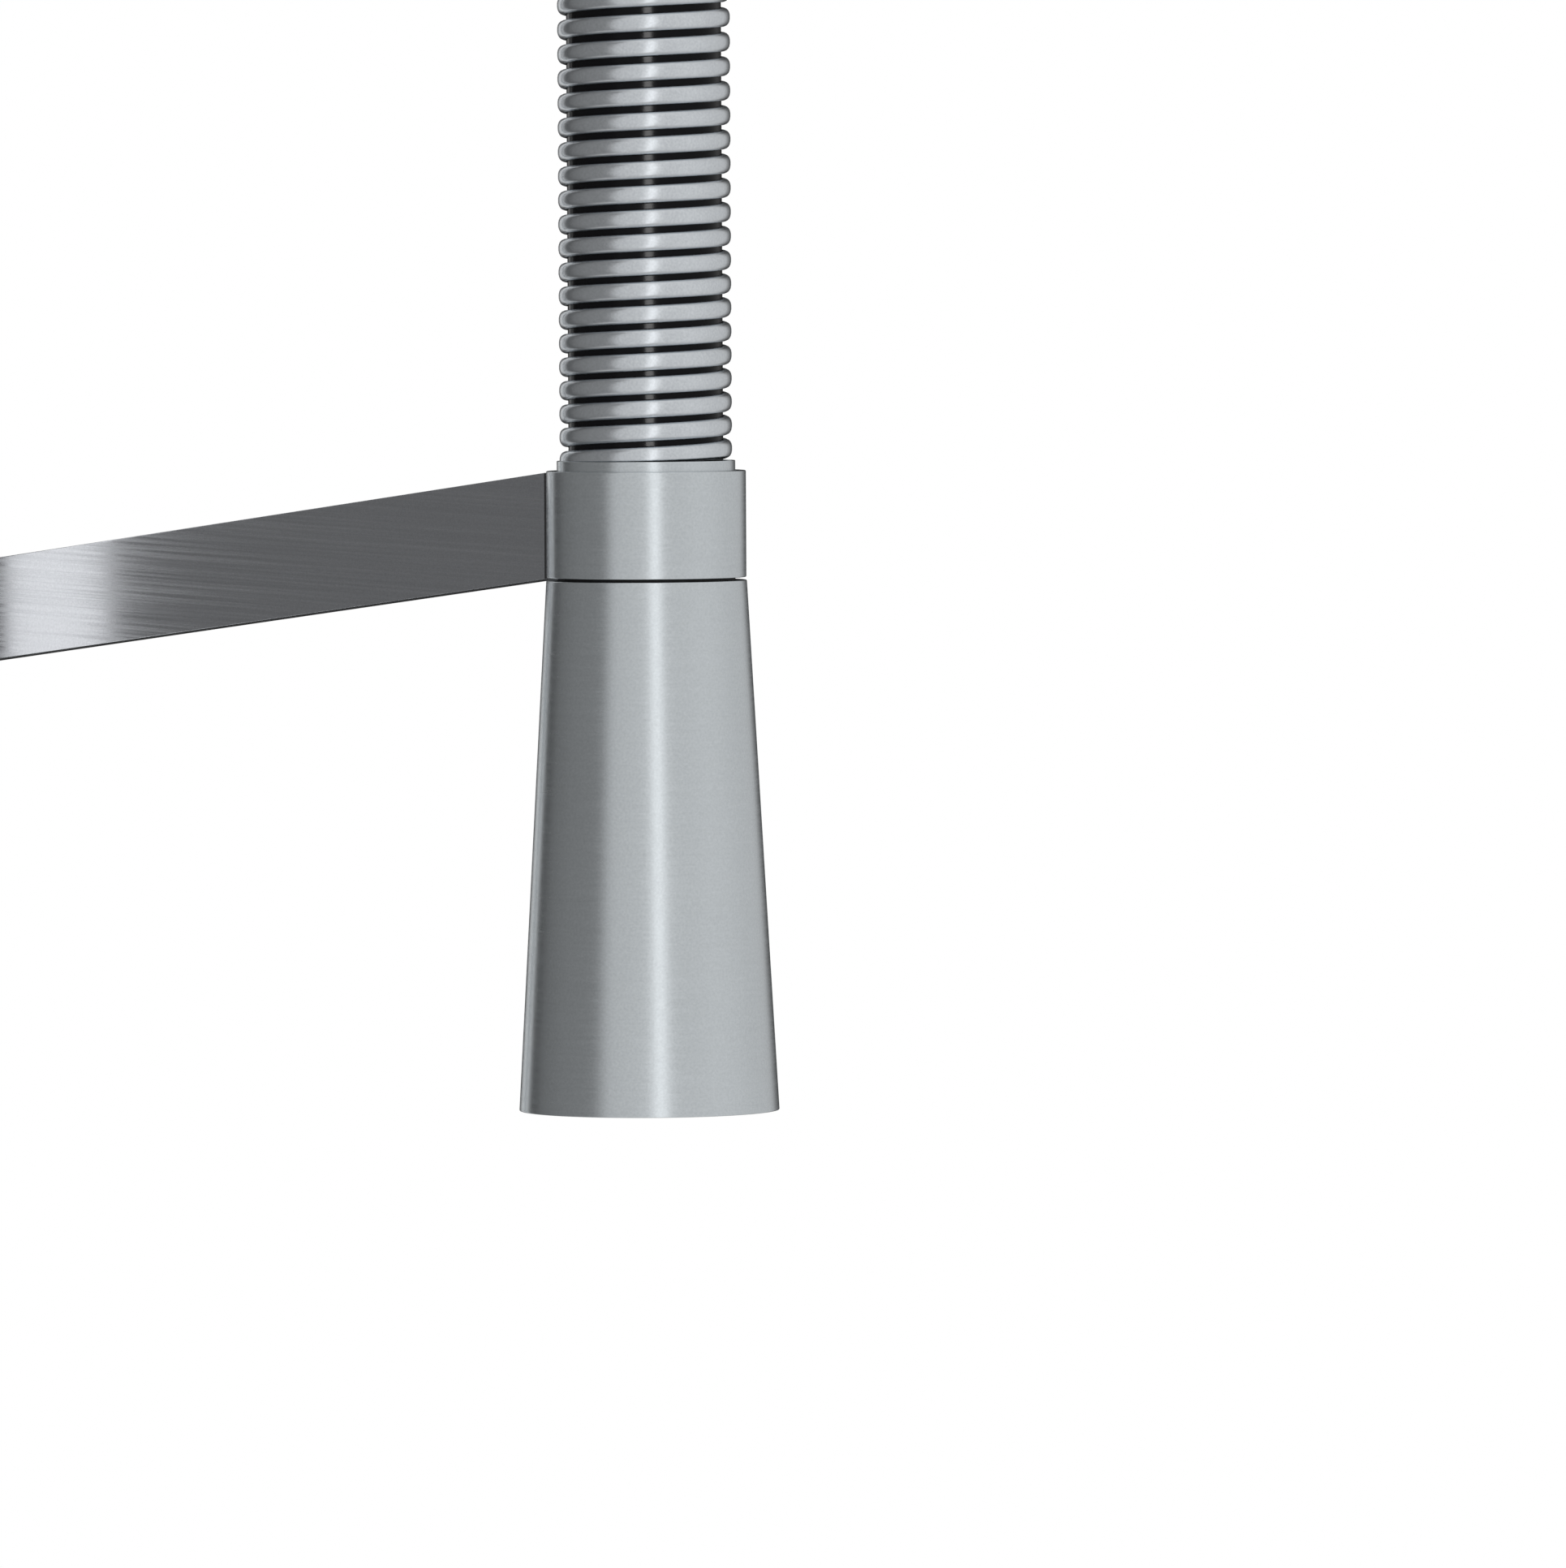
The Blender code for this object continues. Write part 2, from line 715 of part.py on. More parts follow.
def make_hose_nipple():
    """The hose's end fitting, with the collar that the head's nut catches."""
    bore = 3.4 * MM
    plug = HOSE_BORE_R - GAP
    profile = [
        (plug, 300 * MM),
        (plug, SLEEVE_FLOOR + GAP),
        (5.7 * MM, SLEEVE_FLOOR + GAP),
        (5.7 * MM, 279 * MM),
        (7.5 * MM, 279 * MM),
        (7.5 * MM, 276 * MM),
        (5.2 * MM, 276 * MM),
        (5.2 * MM, 271.5 * MM),
        (4.2 * MM, 271.5 * MM),
        (4.2 * MM, 268.5 * MM),
        (5.2 * MM, 268.5 * MM),
        (5.2 * MM, 266 * MM),
        (bore, 266 * MM),
        (bore, 300 * MM),
    ]
    return turned("hose_nipple", profile, "brass", location=HEAD, sides=SMALL)


def make_nipple_seal():
    return o_ring("nipple_seal", 5.05 * MM, 0.6 * MM, 270 * MM, location=HEAD, sides=SMALL)


# Spray head ----------------------------------------------------------------------------------------


def shell_radius(height):
    """Outer radius of the spray head's cone."""
    share = (HEAD_TOP - height) / (HEAD_TOP - HEAD_LOW)
    return HEAD_TOP_R + (HEAD_LOW_R - HEAD_TOP_R) * share


def make_head_shell():
    """A cone with a roof, which has a hole for the nut and a groove for the bumper."""
    roof = HEAD_TOP - HEAD_ROOF
    hole = 9.7 * MM
    groove = HEAD_TOP - 1.2 * MM
    profile = [
        (HEAD_TOP_R, HEAD_TOP),
        (HEAD_LOW_R, HEAD_LOW),
        (HEAD_LOW_R - HEAD_WALL, HEAD_LOW),
        (shell_radius(roof) - HEAD_WALL, roof),
        (hole, roof),
        (hole, HEAD_TOP),
        (BUMPER[0] - GAP, HEAD_TOP),
        (BUMPER[0] - GAP, groove),
        (BUMPER[1] + GAP, groove),
        (BUMPER[1] + GAP, HEAD_TOP),
    ]
    return turned("head_shell", profile, "brushed_steel", location=HEAD)


def make_head_bumper():
    """A rubber ring in the roof, which meets the sleeve and closes the thin gap under the collar."""
    low = HEAD_TOP - 0.9 * MM
    high = HEAD_TOP + 0.6 * MM
    inner, outer = BUMPER
    return ring("head_bumper", outer, inner, low, high, "black_rubber", location=HEAD)


def make_head_nut():
    profile = [
        (9.3 * MM, 284.6 * MM),
        (9.3 * MM, 270.2 * MM),
        (8 * MM, 270.2 * MM),
        (8 * MM, 279.6 * MM),
        (6.2 * MM, 279.6 * MM),
        (6.2 * MM, 284.6 * MM),
    ]
    return turned("head_nut", profile, "brass", location=HEAD, sides=SMALL)


def make_head_core():
    """The water body inside the shell: the nut's socket, the valve's bore and the spray chamber."""
    high = HEAD_TOP - HEAD_ROOF - 0.7 * MM
    low = 208 * MM
    slack = HEAD_WALL + 0.5 * MM
    profile = [
        (shell_radius(high) - slack, high),
        (shell_radius(low) - slack, low),
        (16 * MM, low),
        (16 * MM, 216 * MM),
        (7.4 * MM, 222 * MM),
        (7.4 * MM, 250 * MM),
        (6 * MM, 250 * MM),
        (6 * MM, 269.8 * MM),
        (9.7 * MM, 269.8 * MM),
        (9.7 * MM, high),
    ]
    return turned("head_core", profile, "white_plastic", location=HEAD)


def make_check_valve():
    return ring(
        "check_valve", 7 * MM, 3 * MM, 230 * MM, 249.5 * MM, "white_plastic",
        location=HEAD, sides=SMALL,
    )


def around(count, radius):
    """Places of evenly spaced holes on a circle about the head's axis."""
    turn = 2 * math.pi / count
    return [(radius * math.cos(i * turn), radius * math.sin(i * turn)) for i in range(count)]


def nozzle_places():
    return [place for count, radius in NOZZLE_ROWS for place in around(count, radius)]


def peg_set(name, places, radius, low, high):
    """Upright six-sided pegs, joined in one object for one Boolean."""
    mesh = bpy.data.meshes.new(name)
    cage = bmesh.new()
    for x, y in places:
        made = bmesh.ops.create_cone(
            cage, cap_ends=True, segments=6, radius1=radius, radius2=radius, depth=high - low
        )
        bmesh.ops.translate(cage, vec=(x, y, (low + high) / 2), verts=made["verts"])
    cage.to_mesh(mesh)
    cage.free()
    return add_object(name, mesh, None, HEAD)


def make_flow_disc():
    """Spreads the water over the spray face."""
    low = 211 * MM
    high = 213 * MM
    made = disc("flow_disc", 15.6 * MM, low, high, "white_plastic", location=HEAD)
    return boolean(made, peg_set("flow_holes", around(8, 9 * MM), 1.6 * MM, low - MM, high + MM))


def make_nozzle_mat():
    """A silicone sheet whose nozzles come through the spray plate."""
    low = 205.1 * MM
    high = 207.5 * MM
    made = disc("nozzle_mat", 17.2 * MM, low, high, "grey_silicone", location=HEAD)
    pegs = peg_set("nozzles", nozzle_places(), 0.95 * MM, 201 * MM, low + MM)
    return boolean(made, pegs, "UNION")


def make_spray_plate():
    low = 201.6 * MM
    high = 204.8 * MM
    radius = shell_radius(high) - HEAD_WALL - GAP
    made = disc("spray_plate", radius, low, high, "brushed_steel", location=HEAD)
    return boolean(made, peg_set("nozzle_holes", nozzle_places(), 1.4 * MM, low - MM, high + MM))


# Assembly ------------------------------------------------------------------------------------------


def gather(axis_name, place, pieces):
    """Parents the pieces of one moving group to an empty on its joint's axis."""
    empty = bpy.data.objects.new(axis_name, None)
    empty.location = place
    empty.empty_display_size = 0.02
    PIECES.objects.link(empty)
    bpy.context.view_layer.update()
    for piece in pieces:
        piece.parent = empty
        piece.matrix_parent_inverse = empty.matrix_world.inverted()
    return empty


def build():
    make_mounting_shank()
    make_shank_nut()
    make_washers()
    make_base_ring()
    make_base_gasket()
    make_inlet_nipple("hot_nipple", -INLET_Y)
    make_inlet_nipple("cold_nipple", INLET_Y)
    make_valve_body()
    make_swivel_bush()
    make_retaining_screw()
    ported_disc("cartridge_seal", CARTRIDGE_R, SEAT + GAP, 13.3 * MM, "black_rubber")
    ported_disc("cartridge_base", CARTRIDGE_R, 13.6 * MM, 17.6 * MM, "white_plastic")
    ported_disc("fixed_disc", 13.5 * MM, 17.9 * MM, 21.4 * MM, "ceramic")
    make_cartridge_housing()
    make_cartridge_nut()
    make_bonnet()

    temperature = gather("temperature_axis", VALVE, [make_cartridge_rotor(), make_stem_pin()])
    rocking = [make_lever_stem(), make_handle_hub(), make_handle_lever()]
    rocking += [make_handle_screw(), make_handle_plug()]
    flow = gather("flow_axis", (0, PIVOT, VALVE_Z), rocking)
    slide = gather("disc_slide", (0, 24 * MM, VALVE_Z), [make_moving_disc()])

    upper = [make_swivel_spigot(), *make_swivel_o_rings(), make_swivel_collar()]
    upper += [make_riser_tube(), make_spring_seat(), make_riser_nipple(), make_upper_ferrule()]
    upper += [make_arm_hub(), make_hub_screw(), make_support_arm(), make_dock_collar()]
    upper += [make_coil_spring(), make_spray_hose()]
    swivel = gather("swivel_axis", (0, 0, BODY_TOP), upper)
    end = [make_dock_sleeve(), make_lower_ferrule(), make_hose_nipple(), make_nipple_seal()]
    pull = gather("pull_axis", (REACH, 0, COLLAR_LOW), end)
    head = [make_head_shell(), make_head_bumper(), make_head_nut(), make_head_core()]
    head += [make_check_valve()]
    head += [make_flow_disc(), make_nozzle_mat(), make_spray_plate()]
    twist = gather("twist_axis", (REACH, 0, HEAD_TOP), head)

    for child, parent in ((flow, temperature), (slide, temperature), (pull, swivel), (twist, pull)):
        child.parent = parent
        child.matrix_parent_inverse = parent.matrix_world.inverted()
    for piece in PIECES.objects:
        shade(piece)


clear_scene()
PIECES = new_collection("kitchen_faucet")
CUTTERS = new_collection("cutters")
build()
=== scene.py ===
"""Pull-down kitchen faucet with a sprung spout: the visual model round its CAD frame.

The deck is z = 0 and the riser stands on the Z axis. The docking arm runs along +X to the spray head,
and the lever is on the +Y side. Every length is in metres.
"""

import json
import math

import bmesh
import bpy
from mathutils import Matrix, Vector


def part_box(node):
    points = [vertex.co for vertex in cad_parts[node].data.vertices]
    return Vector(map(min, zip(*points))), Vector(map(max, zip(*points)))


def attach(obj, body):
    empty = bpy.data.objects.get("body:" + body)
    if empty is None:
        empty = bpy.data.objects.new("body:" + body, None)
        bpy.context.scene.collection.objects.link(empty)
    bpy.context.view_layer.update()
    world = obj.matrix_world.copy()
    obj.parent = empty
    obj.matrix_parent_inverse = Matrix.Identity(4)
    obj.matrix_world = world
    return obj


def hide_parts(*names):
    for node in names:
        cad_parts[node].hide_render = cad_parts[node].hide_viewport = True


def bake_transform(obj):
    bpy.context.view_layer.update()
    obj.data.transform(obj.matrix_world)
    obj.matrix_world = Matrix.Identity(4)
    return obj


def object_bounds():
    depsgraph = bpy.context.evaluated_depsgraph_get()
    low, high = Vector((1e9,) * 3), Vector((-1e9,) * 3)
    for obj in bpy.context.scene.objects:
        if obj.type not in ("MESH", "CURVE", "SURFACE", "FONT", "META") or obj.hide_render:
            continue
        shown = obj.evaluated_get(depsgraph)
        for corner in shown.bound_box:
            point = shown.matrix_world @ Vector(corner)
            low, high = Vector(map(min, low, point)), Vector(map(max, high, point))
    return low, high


bl_info = {
    "name": "Sprung Kitchen Faucet",
    "version": (1, 0, 0),
    "blender": (4, 5, 0),
    "location": "View3D > Sidebar > Faucet",
    "description": "Builds a pull-down kitchen faucet piece by piece round its CAD frame",
    "category": "Add Mesh",
}

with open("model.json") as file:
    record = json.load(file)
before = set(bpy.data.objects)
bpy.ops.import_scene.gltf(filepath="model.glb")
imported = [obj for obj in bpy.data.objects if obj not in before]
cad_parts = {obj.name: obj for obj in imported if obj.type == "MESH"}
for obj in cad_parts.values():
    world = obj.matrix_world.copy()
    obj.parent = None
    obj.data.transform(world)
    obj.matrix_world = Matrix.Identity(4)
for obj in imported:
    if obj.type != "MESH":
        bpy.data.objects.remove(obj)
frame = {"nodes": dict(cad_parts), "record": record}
CAD_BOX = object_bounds()

MM = 0.001
FINEST = 128  # columns of the spray head, the collar and the sleeve
FINE = 96  # columns of a large turned piece
PLAIN = 48  # columns of a small one
TO_Y = Matrix.Rotation(-math.pi / 2, 4, "X")  # lays a turned piece along +Y
TO_X = Matrix.Rotation(math.pi / 2, 4, "Y")  # lays it along +X
TO_BACK = Matrix.Rotation(-math.pi / 2, 4, "Y")  # lays it along -X
EASE = 0.25 * MM  # how far a turned edge is broken
BAR_MARKS = -0.03  # rise of the arm's brushing for each unit of reach
CAMERA_TURN = 51.147  # degrees round from looking along +Y
SCREW_R = 2 * MM  # the two grub screws, their sockets and the holes they stand in
SCREW_SOCKET = 0.95 * MM
SCREW_HOLE = 2.2 * MM


def low_z(node):
    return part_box(node)[0].z


def high_z(node):
    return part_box(node)[1].z


def wide(node):
    """Outer radius of a piece turned about a vertical axis."""
    low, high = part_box(node)
    return (high.x - low.x) / 2


def middle(node):
    low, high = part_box(node)
    return (low + high) / 2


VALVE_Z = middle("fixed_disc").z
BODY_AXIS = Matrix.Identity(4)
HEAD_AXIS = Matrix.Translation((middle("dock_collar").x, 0, 0))
VALVE_AXIS = Matrix.Translation((0, 0, VALVE_Z)) @ TO_Y


# Properties ----------------------------------------------------------------------------------------


def length(label, value, about):
    return bpy.props.FloatProperty(
        name=label, description=about, default=value, min=0.0, precision=5,
        unit="LENGTH", subtype="DISTANCE",
    )


def share(label, value, about):
    return bpy.props.FloatProperty(
        name=label, description=about, default=value, min=0.0, max=1.0, subtype="FACTOR"
    )


def colour(label, value, about):
    return bpy.props.FloatVectorProperty(
        name=label, description=about, default=value, size=3, min=0.0, max=1.0, subtype="COLOR"
    )


class FaucetSizes(bpy.types.PropertyGroup):
    """Sizes of the pieces that a user would change"""

    reach: length("Reach", middle("dock_collar").x, "From the riser's axis to the spray head's axis")
    arch_z: length("Arch start", 0.4, "Height at which the spring starts to bend over")
    head_radius: length("Head top", wide("head_shell") - 4.79 * MM, "Radius of the spray head's top")
    face_radius: length("Head face", wide("head_shell"), "Radius of the spray head at its face")
    head_wall: length("Head wall", 1.5 * MM, "Wall of the spray head's shell")
    spring_radius: length("Spring", 13.85 * MM, "Outer radius of the coil spring")
    wire: length("Wire height", 3.04 * MM, "Height of the spring's D-shaped wire")
    wire_deep: length("Wire depth", 1.3 * MM, "Depth of the wire, from its flat back to its round face")
    low_pitch: length("Lower pitch", 3.7234 * MM, "Rise of the spring's lowest turn")
    high_pitch: length("Upper pitch", 3.95 * MM, "Rise of a turn in the arch and above the riser")
    hose_radius: length("Hose", 12.4 * MM, "Outer radius of the spray hose")
    arm_thick: length("Arm thickness", 4 * MM, "Thickness of the docking arm's bar")
    arm_height: length("Arm height", 17.15 * MM, "Height of the docking arm's bar")
    thread: length("Thread pitch", 1.5 * MM, "Pitch of the mounting shank's thread")


class FaucetColours(bpy.types.PropertyGroup):
    """Colours and finish of the materials"""

    steel: colour("Brushed steel", (0.575, 0.61, 0.632), "Turned and brushed stainless steel")
    bar: colour("Brushed bar", (0.445, 0.456, 0.480), "Bar stock brushed along its length")
    spring: colour("Spring steel", (0.63, 0.66, 0.69), "Drawn stainless wire")
    plated: colour("Plated steel", (0.43, 0.44, 0.45), "Zinc plated screws, pins and washers")
    brass: colour("Brass", (0.60, 0.42, 0.17), "Turned brass under the deck and inside")
    hose: colour("Hose", (0.003, 0.003, 0.0035), "Black glossy hose")
    rubber: colour("Rubber", (0.018, 0.018, 0.019), "Washers, seals and gasket")
    silicone: colour("Silicone", (0.085, 0.088, 0.094), "Nozzle mat and plug")
    plastic: colour("Plastic", (0.74, 0.74, 0.71), "Cartridge housing and head core")
    ceramic: colour("Ceramic", (0.84, 0.84, 0.82), "Valve discs")
    floor: colour("Floor", (0.93, 0.93, 0.93), "Studio floor")
    wear: share("Edge wear", 0.35, "How much the edges of the metal shine from use")


# Node helpers --------------------------------------------------------------------------------------


def add(tree, kind, values=None, **settings):
    """A node with its settings made and its inputs set or linked."""
    node = tree.nodes.new("ShaderNode" + kind)
    for name, value in settings.items():
        setattr(node, name, value)
    for name, value in (values or {}).items():
        if isinstance(value, bpy.types.NodeSocket):
            tree.links.new(value, node.inputs[name])
        else:
            node.inputs[name].default_value = value
    return node


def placed(tree, group, values):
    """The outputs of a shader group put into a tree."""
    return add(tree, "Group", values, node_tree=group).outputs


def maths(tree, operation, *values, clamp=False):
    made = add(tree, "Math", dict(enumerate(values)), operation=operation, use_clamp=clamp)
    return made.outputs[0]


def new_group(name, inputs, outputs):
    """An empty shader group with its named sockets."""
    group = bpy.data.node_groups.new(name, "ShaderNodeTree")
    for label, kind, value in inputs:
        socket = group.interface.new_socket(
            name=label, in_out="INPUT", socket_type="NodeSocket" + kind
        )
        if value is not None:
            socket.default_value = value
    for label in outputs:
        group.interface.new_socket(name=label, in_out="OUTPUT", socket_type="NodeSocketFloat")
    return group, group.nodes.new("NodeGroupInput").outputs, group.nodes.new("NodeGroupOutput").inputs


def noise(tree, vector, scale, detail=2.0, roughness=0.5):
    values = {"Vector": vector, "Scale": scale, "Detail": detail, "Roughness": roughness}
    return add(tree, "TexNoise", values).outputs["Fac"]


def brushed_marks_group():
    """Fine marks that run round a turned piece's own Z axis, or along a bar's X axis."""
    name = "brushed_marks"
    if name in bpy.data.node_groups:
        return bpy.data.node_groups[name]
    sockets = (
        ("Coordinates", "Vector", None),
        ("Marks per Metre", "Float", 2200.0),
        ("Straight", "Float", 0.0),
        ("Slope", "Float", 0.0),
        ("Speckle per Metre", "Float", 2600.0),
    )
    group, given, out = new_group(name, sockets, ("Streak", "Speckle", "Relief"))
    split = add(group, "SeparateXYZ", {0: given["Coordinates"]}).outputs
    flat = add(group, "CombineXYZ", {0: split["X"], 1: split["Y"]}).outputs[0]
    radius = add(group, "VectorMath", {0: flat}, operation="LENGTH").outputs["Value"]
    turn = add(group, "VectorMath", {0: flat}, operation="NORMALIZE").outputs[0]
    face_marks = 0.7  # marks on a turned end face, for each one on the side
    across = maths(group, "MULTIPLY_ADD", radius, face_marks, split["Z"])
    across = maths(group, "MULTIPLY", across, given["Marks per Metre"])
    turn = add(group, "SeparateXYZ", {0: turn}).outputs
    breaks = 2.6  # how often a mark breaks off on its way round
    wound = add(group, "CombineXYZ", {
        0: maths(group, "MULTIPLY", turn["X"], breaks),
        1: maths(group, "MULTIPLY", turn["Y"], breaks),
        2: across,
    }).outputs[0]
    level = maths(group, "SUBTRACT", split["Z"], maths(group, "MULTIPLY", split["X"], given["Slope"]))
    level = maths(group, "MULTIPLY", level, given["Marks per Metre"])
    along, through = 14.0, 900.0  # breaks per metre along a bar, and marks through its thickness
    drawn = add(group, "CombineXYZ", {
        0: maths(group, "MULTIPLY", split["X"], along),
        1: maths(group, "MULTIPLY", split["Y"], through),
        2: level,
    }).outputs[0]
    ends = {0: given["Straight"], 4: wound, 5: drawn}
    place = add(group, "Mix", ends, data_type="VECTOR").outputs[1]
    broad = noise(group, place, 1.0, 3.0, 0.65)
    sharp = noise(group, place, 2.9, 2.0, 0.6)
    height = maths(
        group, "ADD", maths(group, "MULTIPLY", broad, 0.6), maths(group, "MULTIPLY", sharp, 0.4)
    )
    speckle = noise(group, given["Coordinates"], given["Speckle per Metre"], 1.0)
    group.links.new(broad, out["Streak"])
    group.links.new(speckle, out["Speckle"])
    group.links.new(height, out["Relief"])
    return group


def edge_wear_group():
    """A mask of the edges that hands and cloths polish, broken up a little."""
    name = "edge_wear"
    if name in bpy.data.node_groups:
        return bpy.data.node_groups[name]
    sockets = (
        ("Coordinates", "Vector", None),
        ("Width", "Float", 0.35 * MM),
        ("Amount", "Float", 0.35),
    )
    group, given, out = new_group(name, sockets, ("Mask",))
    softened = add(group, "Bevel", {"Radius": given["Width"]}, samples=4).outputs[0]
    true = add(group, "NewGeometry").outputs["Normal"]
    normals = {0: softened, 1: true}
    meet = add(group, "VectorMath", normals, operation="DOT_PRODUCT").outputs["Value"]
    sharpness, patches = 6.0, 700.0
    edge = maths(group, "MULTIPLY", maths(group, "SUBTRACT", 1.0, meet), sharpness, clamp=True)
    patchy = noise(group, given["Coordinates"], patches, 3.0)
    patchy = maths(group, "MULTIPLY_ADD", patchy, 0.9, 0.5)
    mask = maths(group, "MULTIPLY", edge, patchy)
    mask = maths(group, "MULTIPLY", mask, given["Amount"], clamp=True)
    group.links.new(mask, out["Mask"])
    return group


def clouding_group():
    """Slow changes of tone and finer mottling, as from handling and drying water."""
    name = "clouding"
    if name in bpy.data.node_groups:
        return bpy.data.node_groups[name]
    sockets = (
        ("Coordinates", "Vector", None),
        ("Clouds per Metre", "Float", 45.0),
        ("Grains per Metre", "Float", 1500.0),
    )
    group, given, out = new_group(name, sockets, ("Cloud", "Grain"))
    group.links.new(noise(group, given["Coordinates"], given["Clouds per Metre"], 3.0), out["Cloud"])
    group.links.new(noise(group, given["Coordinates"], given["Grains per Metre"], 2.0), out["Grain"])
    return group


def about_one(tree, *pairs):
    """1 plus each mask's distance from its middle times its weight."""
    total = 1.0
    for mask, weight in pairs:
        change = maths(tree, "MULTIPLY", maths(tree, "SUBTRACT", mask, 0.5), weight)
        total = maths(tree, "ADD", total, change)
    return total


def new_material(name, preview):
    """A material with its tree, its shader and object coordinates."""
    made = bpy.data.materials.new(name)
    made.use_nodes = True
    made.diffuse_color = (*preview, 1.0)
    tree = made.node_tree
    shader = tree.nodes["Principled BSDF"]
    place = add(tree, "TexCoord").outputs["Object"]
    return made, tree, shader, place


def tint(tree, shader, base, factor):
    """The base colour times a factor that changes over the surface."""
    scaled = add(tree, "VectorMath", {0: base, 3: factor}, operation="SCALE").outputs[0]
    tree.links.new(scaled, shader.inputs["Base Color"])


def relief(tree, shader, height, depth):
    bump = add(tree, "Bump", {"Height": height, "Distance": depth, "Strength": 1.0})
    tree.links.new(bump.outputs[0], shader.inputs["Normal"])


def steel_material(name, base, roughness, streak, speckle, depth, wear, spread=0.16, slope=None):
    """Stainless steel with the marks of its brushing, which run straight where a slope is given."""
    if name + "_finish" in bpy.data.materials:
        return bpy.data.materials[name + "_finish"]
    made, tree, shader, place = new_material(name + "_finish", base)
    straight = {"Coordinates": place, "Straight": float(slope is not None), "Slope": slope or 0.0}
    marks = placed(tree, brushed_marks_group(), straight)
    worn = placed(tree, edge_wear_group(), {"Coordinates": place, "Amount": wear})["Mask"]
    tone = placed(tree, clouding_group(), {"Coordinates": place})
    factor = about_one(
        tree, (marks["Streak"], streak), (marks["Speckle"], speckle), (tone["Cloud"], 0.05)
    )
    factor = maths(tree, "MULTIPLY_ADD", worn, 0.3, factor)
    tint(tree, shader, base, factor)
    shader.inputs["Metallic"].default_value = 1.0
    rough = maths(tree, "MULTIPLY_ADD", marks["Streak"], spread, roughness - spread / 2)
    rough = maths(tree, "MULTIPLY_ADD", tone["Cloud"], 0.04, maths(tree, "SUBTRACT", rough, 0.02))
    tree.links.new(maths(tree, "MULTIPLY_ADD", worn, -0.06, rough), shader.inputs["Roughness"])
    relief(tree, shader, marks["Relief"], depth)
    return made


def plain_material(name, base, roughness, metallic, mottle, depth, grains):
    """Moulded, cast, plated or drawn surfaces, with clouding and a fine grain."""
    if name + "_finish" in bpy.data.materials:
        return bpy.data.materials[name + "_finish"]
    made, tree, shader, place = new_material(name + "_finish", base)
    tone = placed(tree, clouding_group(), {"Coordinates": place, "Grains per Metre": grains})
    worn = placed(tree, edge_wear_group(), {"Coordinates": place, "Amount": 0.3})["Mask"]
    factor = about_one(tree, (tone["Cloud"], mottle), (tone["Grain"], mottle))
    tint(tree, shader, base, maths(tree, "MULTIPLY_ADD", worn, 0.35, factor))
    shader.inputs["Metallic"].default_value = metallic
    rough = maths(tree, "MULTIPLY_ADD", tone["Cloud"], 0.12, roughness - 0.06)
    tree.links.new(rough, shader.inputs["Roughness"])
    relief(tree, shader, tone["Grain"], depth)
    return made


def finish_of(slot, bar=False):
    """The material of one of the record's slots."""
    hues = bpy.context.scene.faucet_colours
    # colour, roughness, streaks, speckle, depth of the marks, edge wear, spread of roughness, slope
    steels = {
        "brushed_steel_bar": (hues.bar, 0.24, 0.16, 0.26, 0.002 * MM, hues.wear, 0.5, BAR_MARKS),
        "brushed_steel_turned": (hues.steel, 0.24, 0.12, 0.2, 0.004 * MM, hues.wear),
        "spring_steel": (hues.spring, 0.23, 0.06, 0.2, 0.002 * MM, 0.0, 0.08),
    }
    # colour, roughness, metal, mottling, depth of the grain, grains per metre
    others = {
        "plated_steel": (hues.plated, 0.34, 1.0, 0.2, 0.01 * MM, 1500.0),
        "brass": (hues.brass, 0.3, 1.0, 0.2, 0.008 * MM, 1200.0),
        "black_hose": (hues.hose, 0.14, 0.0, 0.3, 0.003 * MM, 2500.0),
        "black_rubber": (hues.rubber, 0.62, 0.0, 0.35, 0.03 * MM, 2500.0),
        "grey_silicone": (hues.silicone, 0.5, 0.0, 0.2, 0.02 * MM, 2200.0),
        "white_plastic": (hues.plastic, 0.42, 0.0, 0.06, 0.01 * MM, 1800.0),
        "ceramic": (hues.ceramic, 0.14, 0.0, 0.05, 0.004 * MM, 2600.0),
    }
    kind = slot
    if slot == "brushed_steel":
        kind += "_bar" if bar else "_turned"
    maker, looks = (steel_material, steels) if kind in steels else (plain_material, others)
    base, *rest = looks[kind]
    made = maker(kind, tuple(base), *rest)
    if slot == "black_hose":
        made.node_tree.nodes["Principled BSDF"].inputs["Specular IOR Level"].default_value = 0.06
    return made


# Mesh helpers --------------------------------------------------------------------------------------


def mesh_object(name, verts, faces):
    mesh = bpy.data.meshes.new(name)
    mesh.from_pydata(verts, [], faces)
    cage = bmesh.new()
    cage.from_mesh(mesh)
    bmesh.ops.recalc_face_normals(cage, faces=cage.faces)
    cage.to_mesh(mesh)
    cage.free()
    made = bpy.data.objects.new(name, mesh)
    bpy.context.scene.collection.objects.link(made)
    return made


def drawn_through(name, sections):
    """A solid through a row of like sections, with a face on each end."""
    count = len(sections[0])
    verts = [point for section in sections for point in section]
    faces = []
    last = len(sections) - 1
    for i in range(last):
        for j in range(count):
            k = (j + 1) % count
            faces.append((i * count + j, i * count + k, (i + 1) * count + k, (i + 1) * count + j))
    faces.append(tuple(range(count)))
    faces.append(tuple(range(last * count, (last + 1) * count)))
    return mesh_object(name, verts, faces)


def smooth(obj, angle=38):
    obj.data.shade_smooth()
    obj.data.set_sharp_from_angle(angle=math.radians(angle))


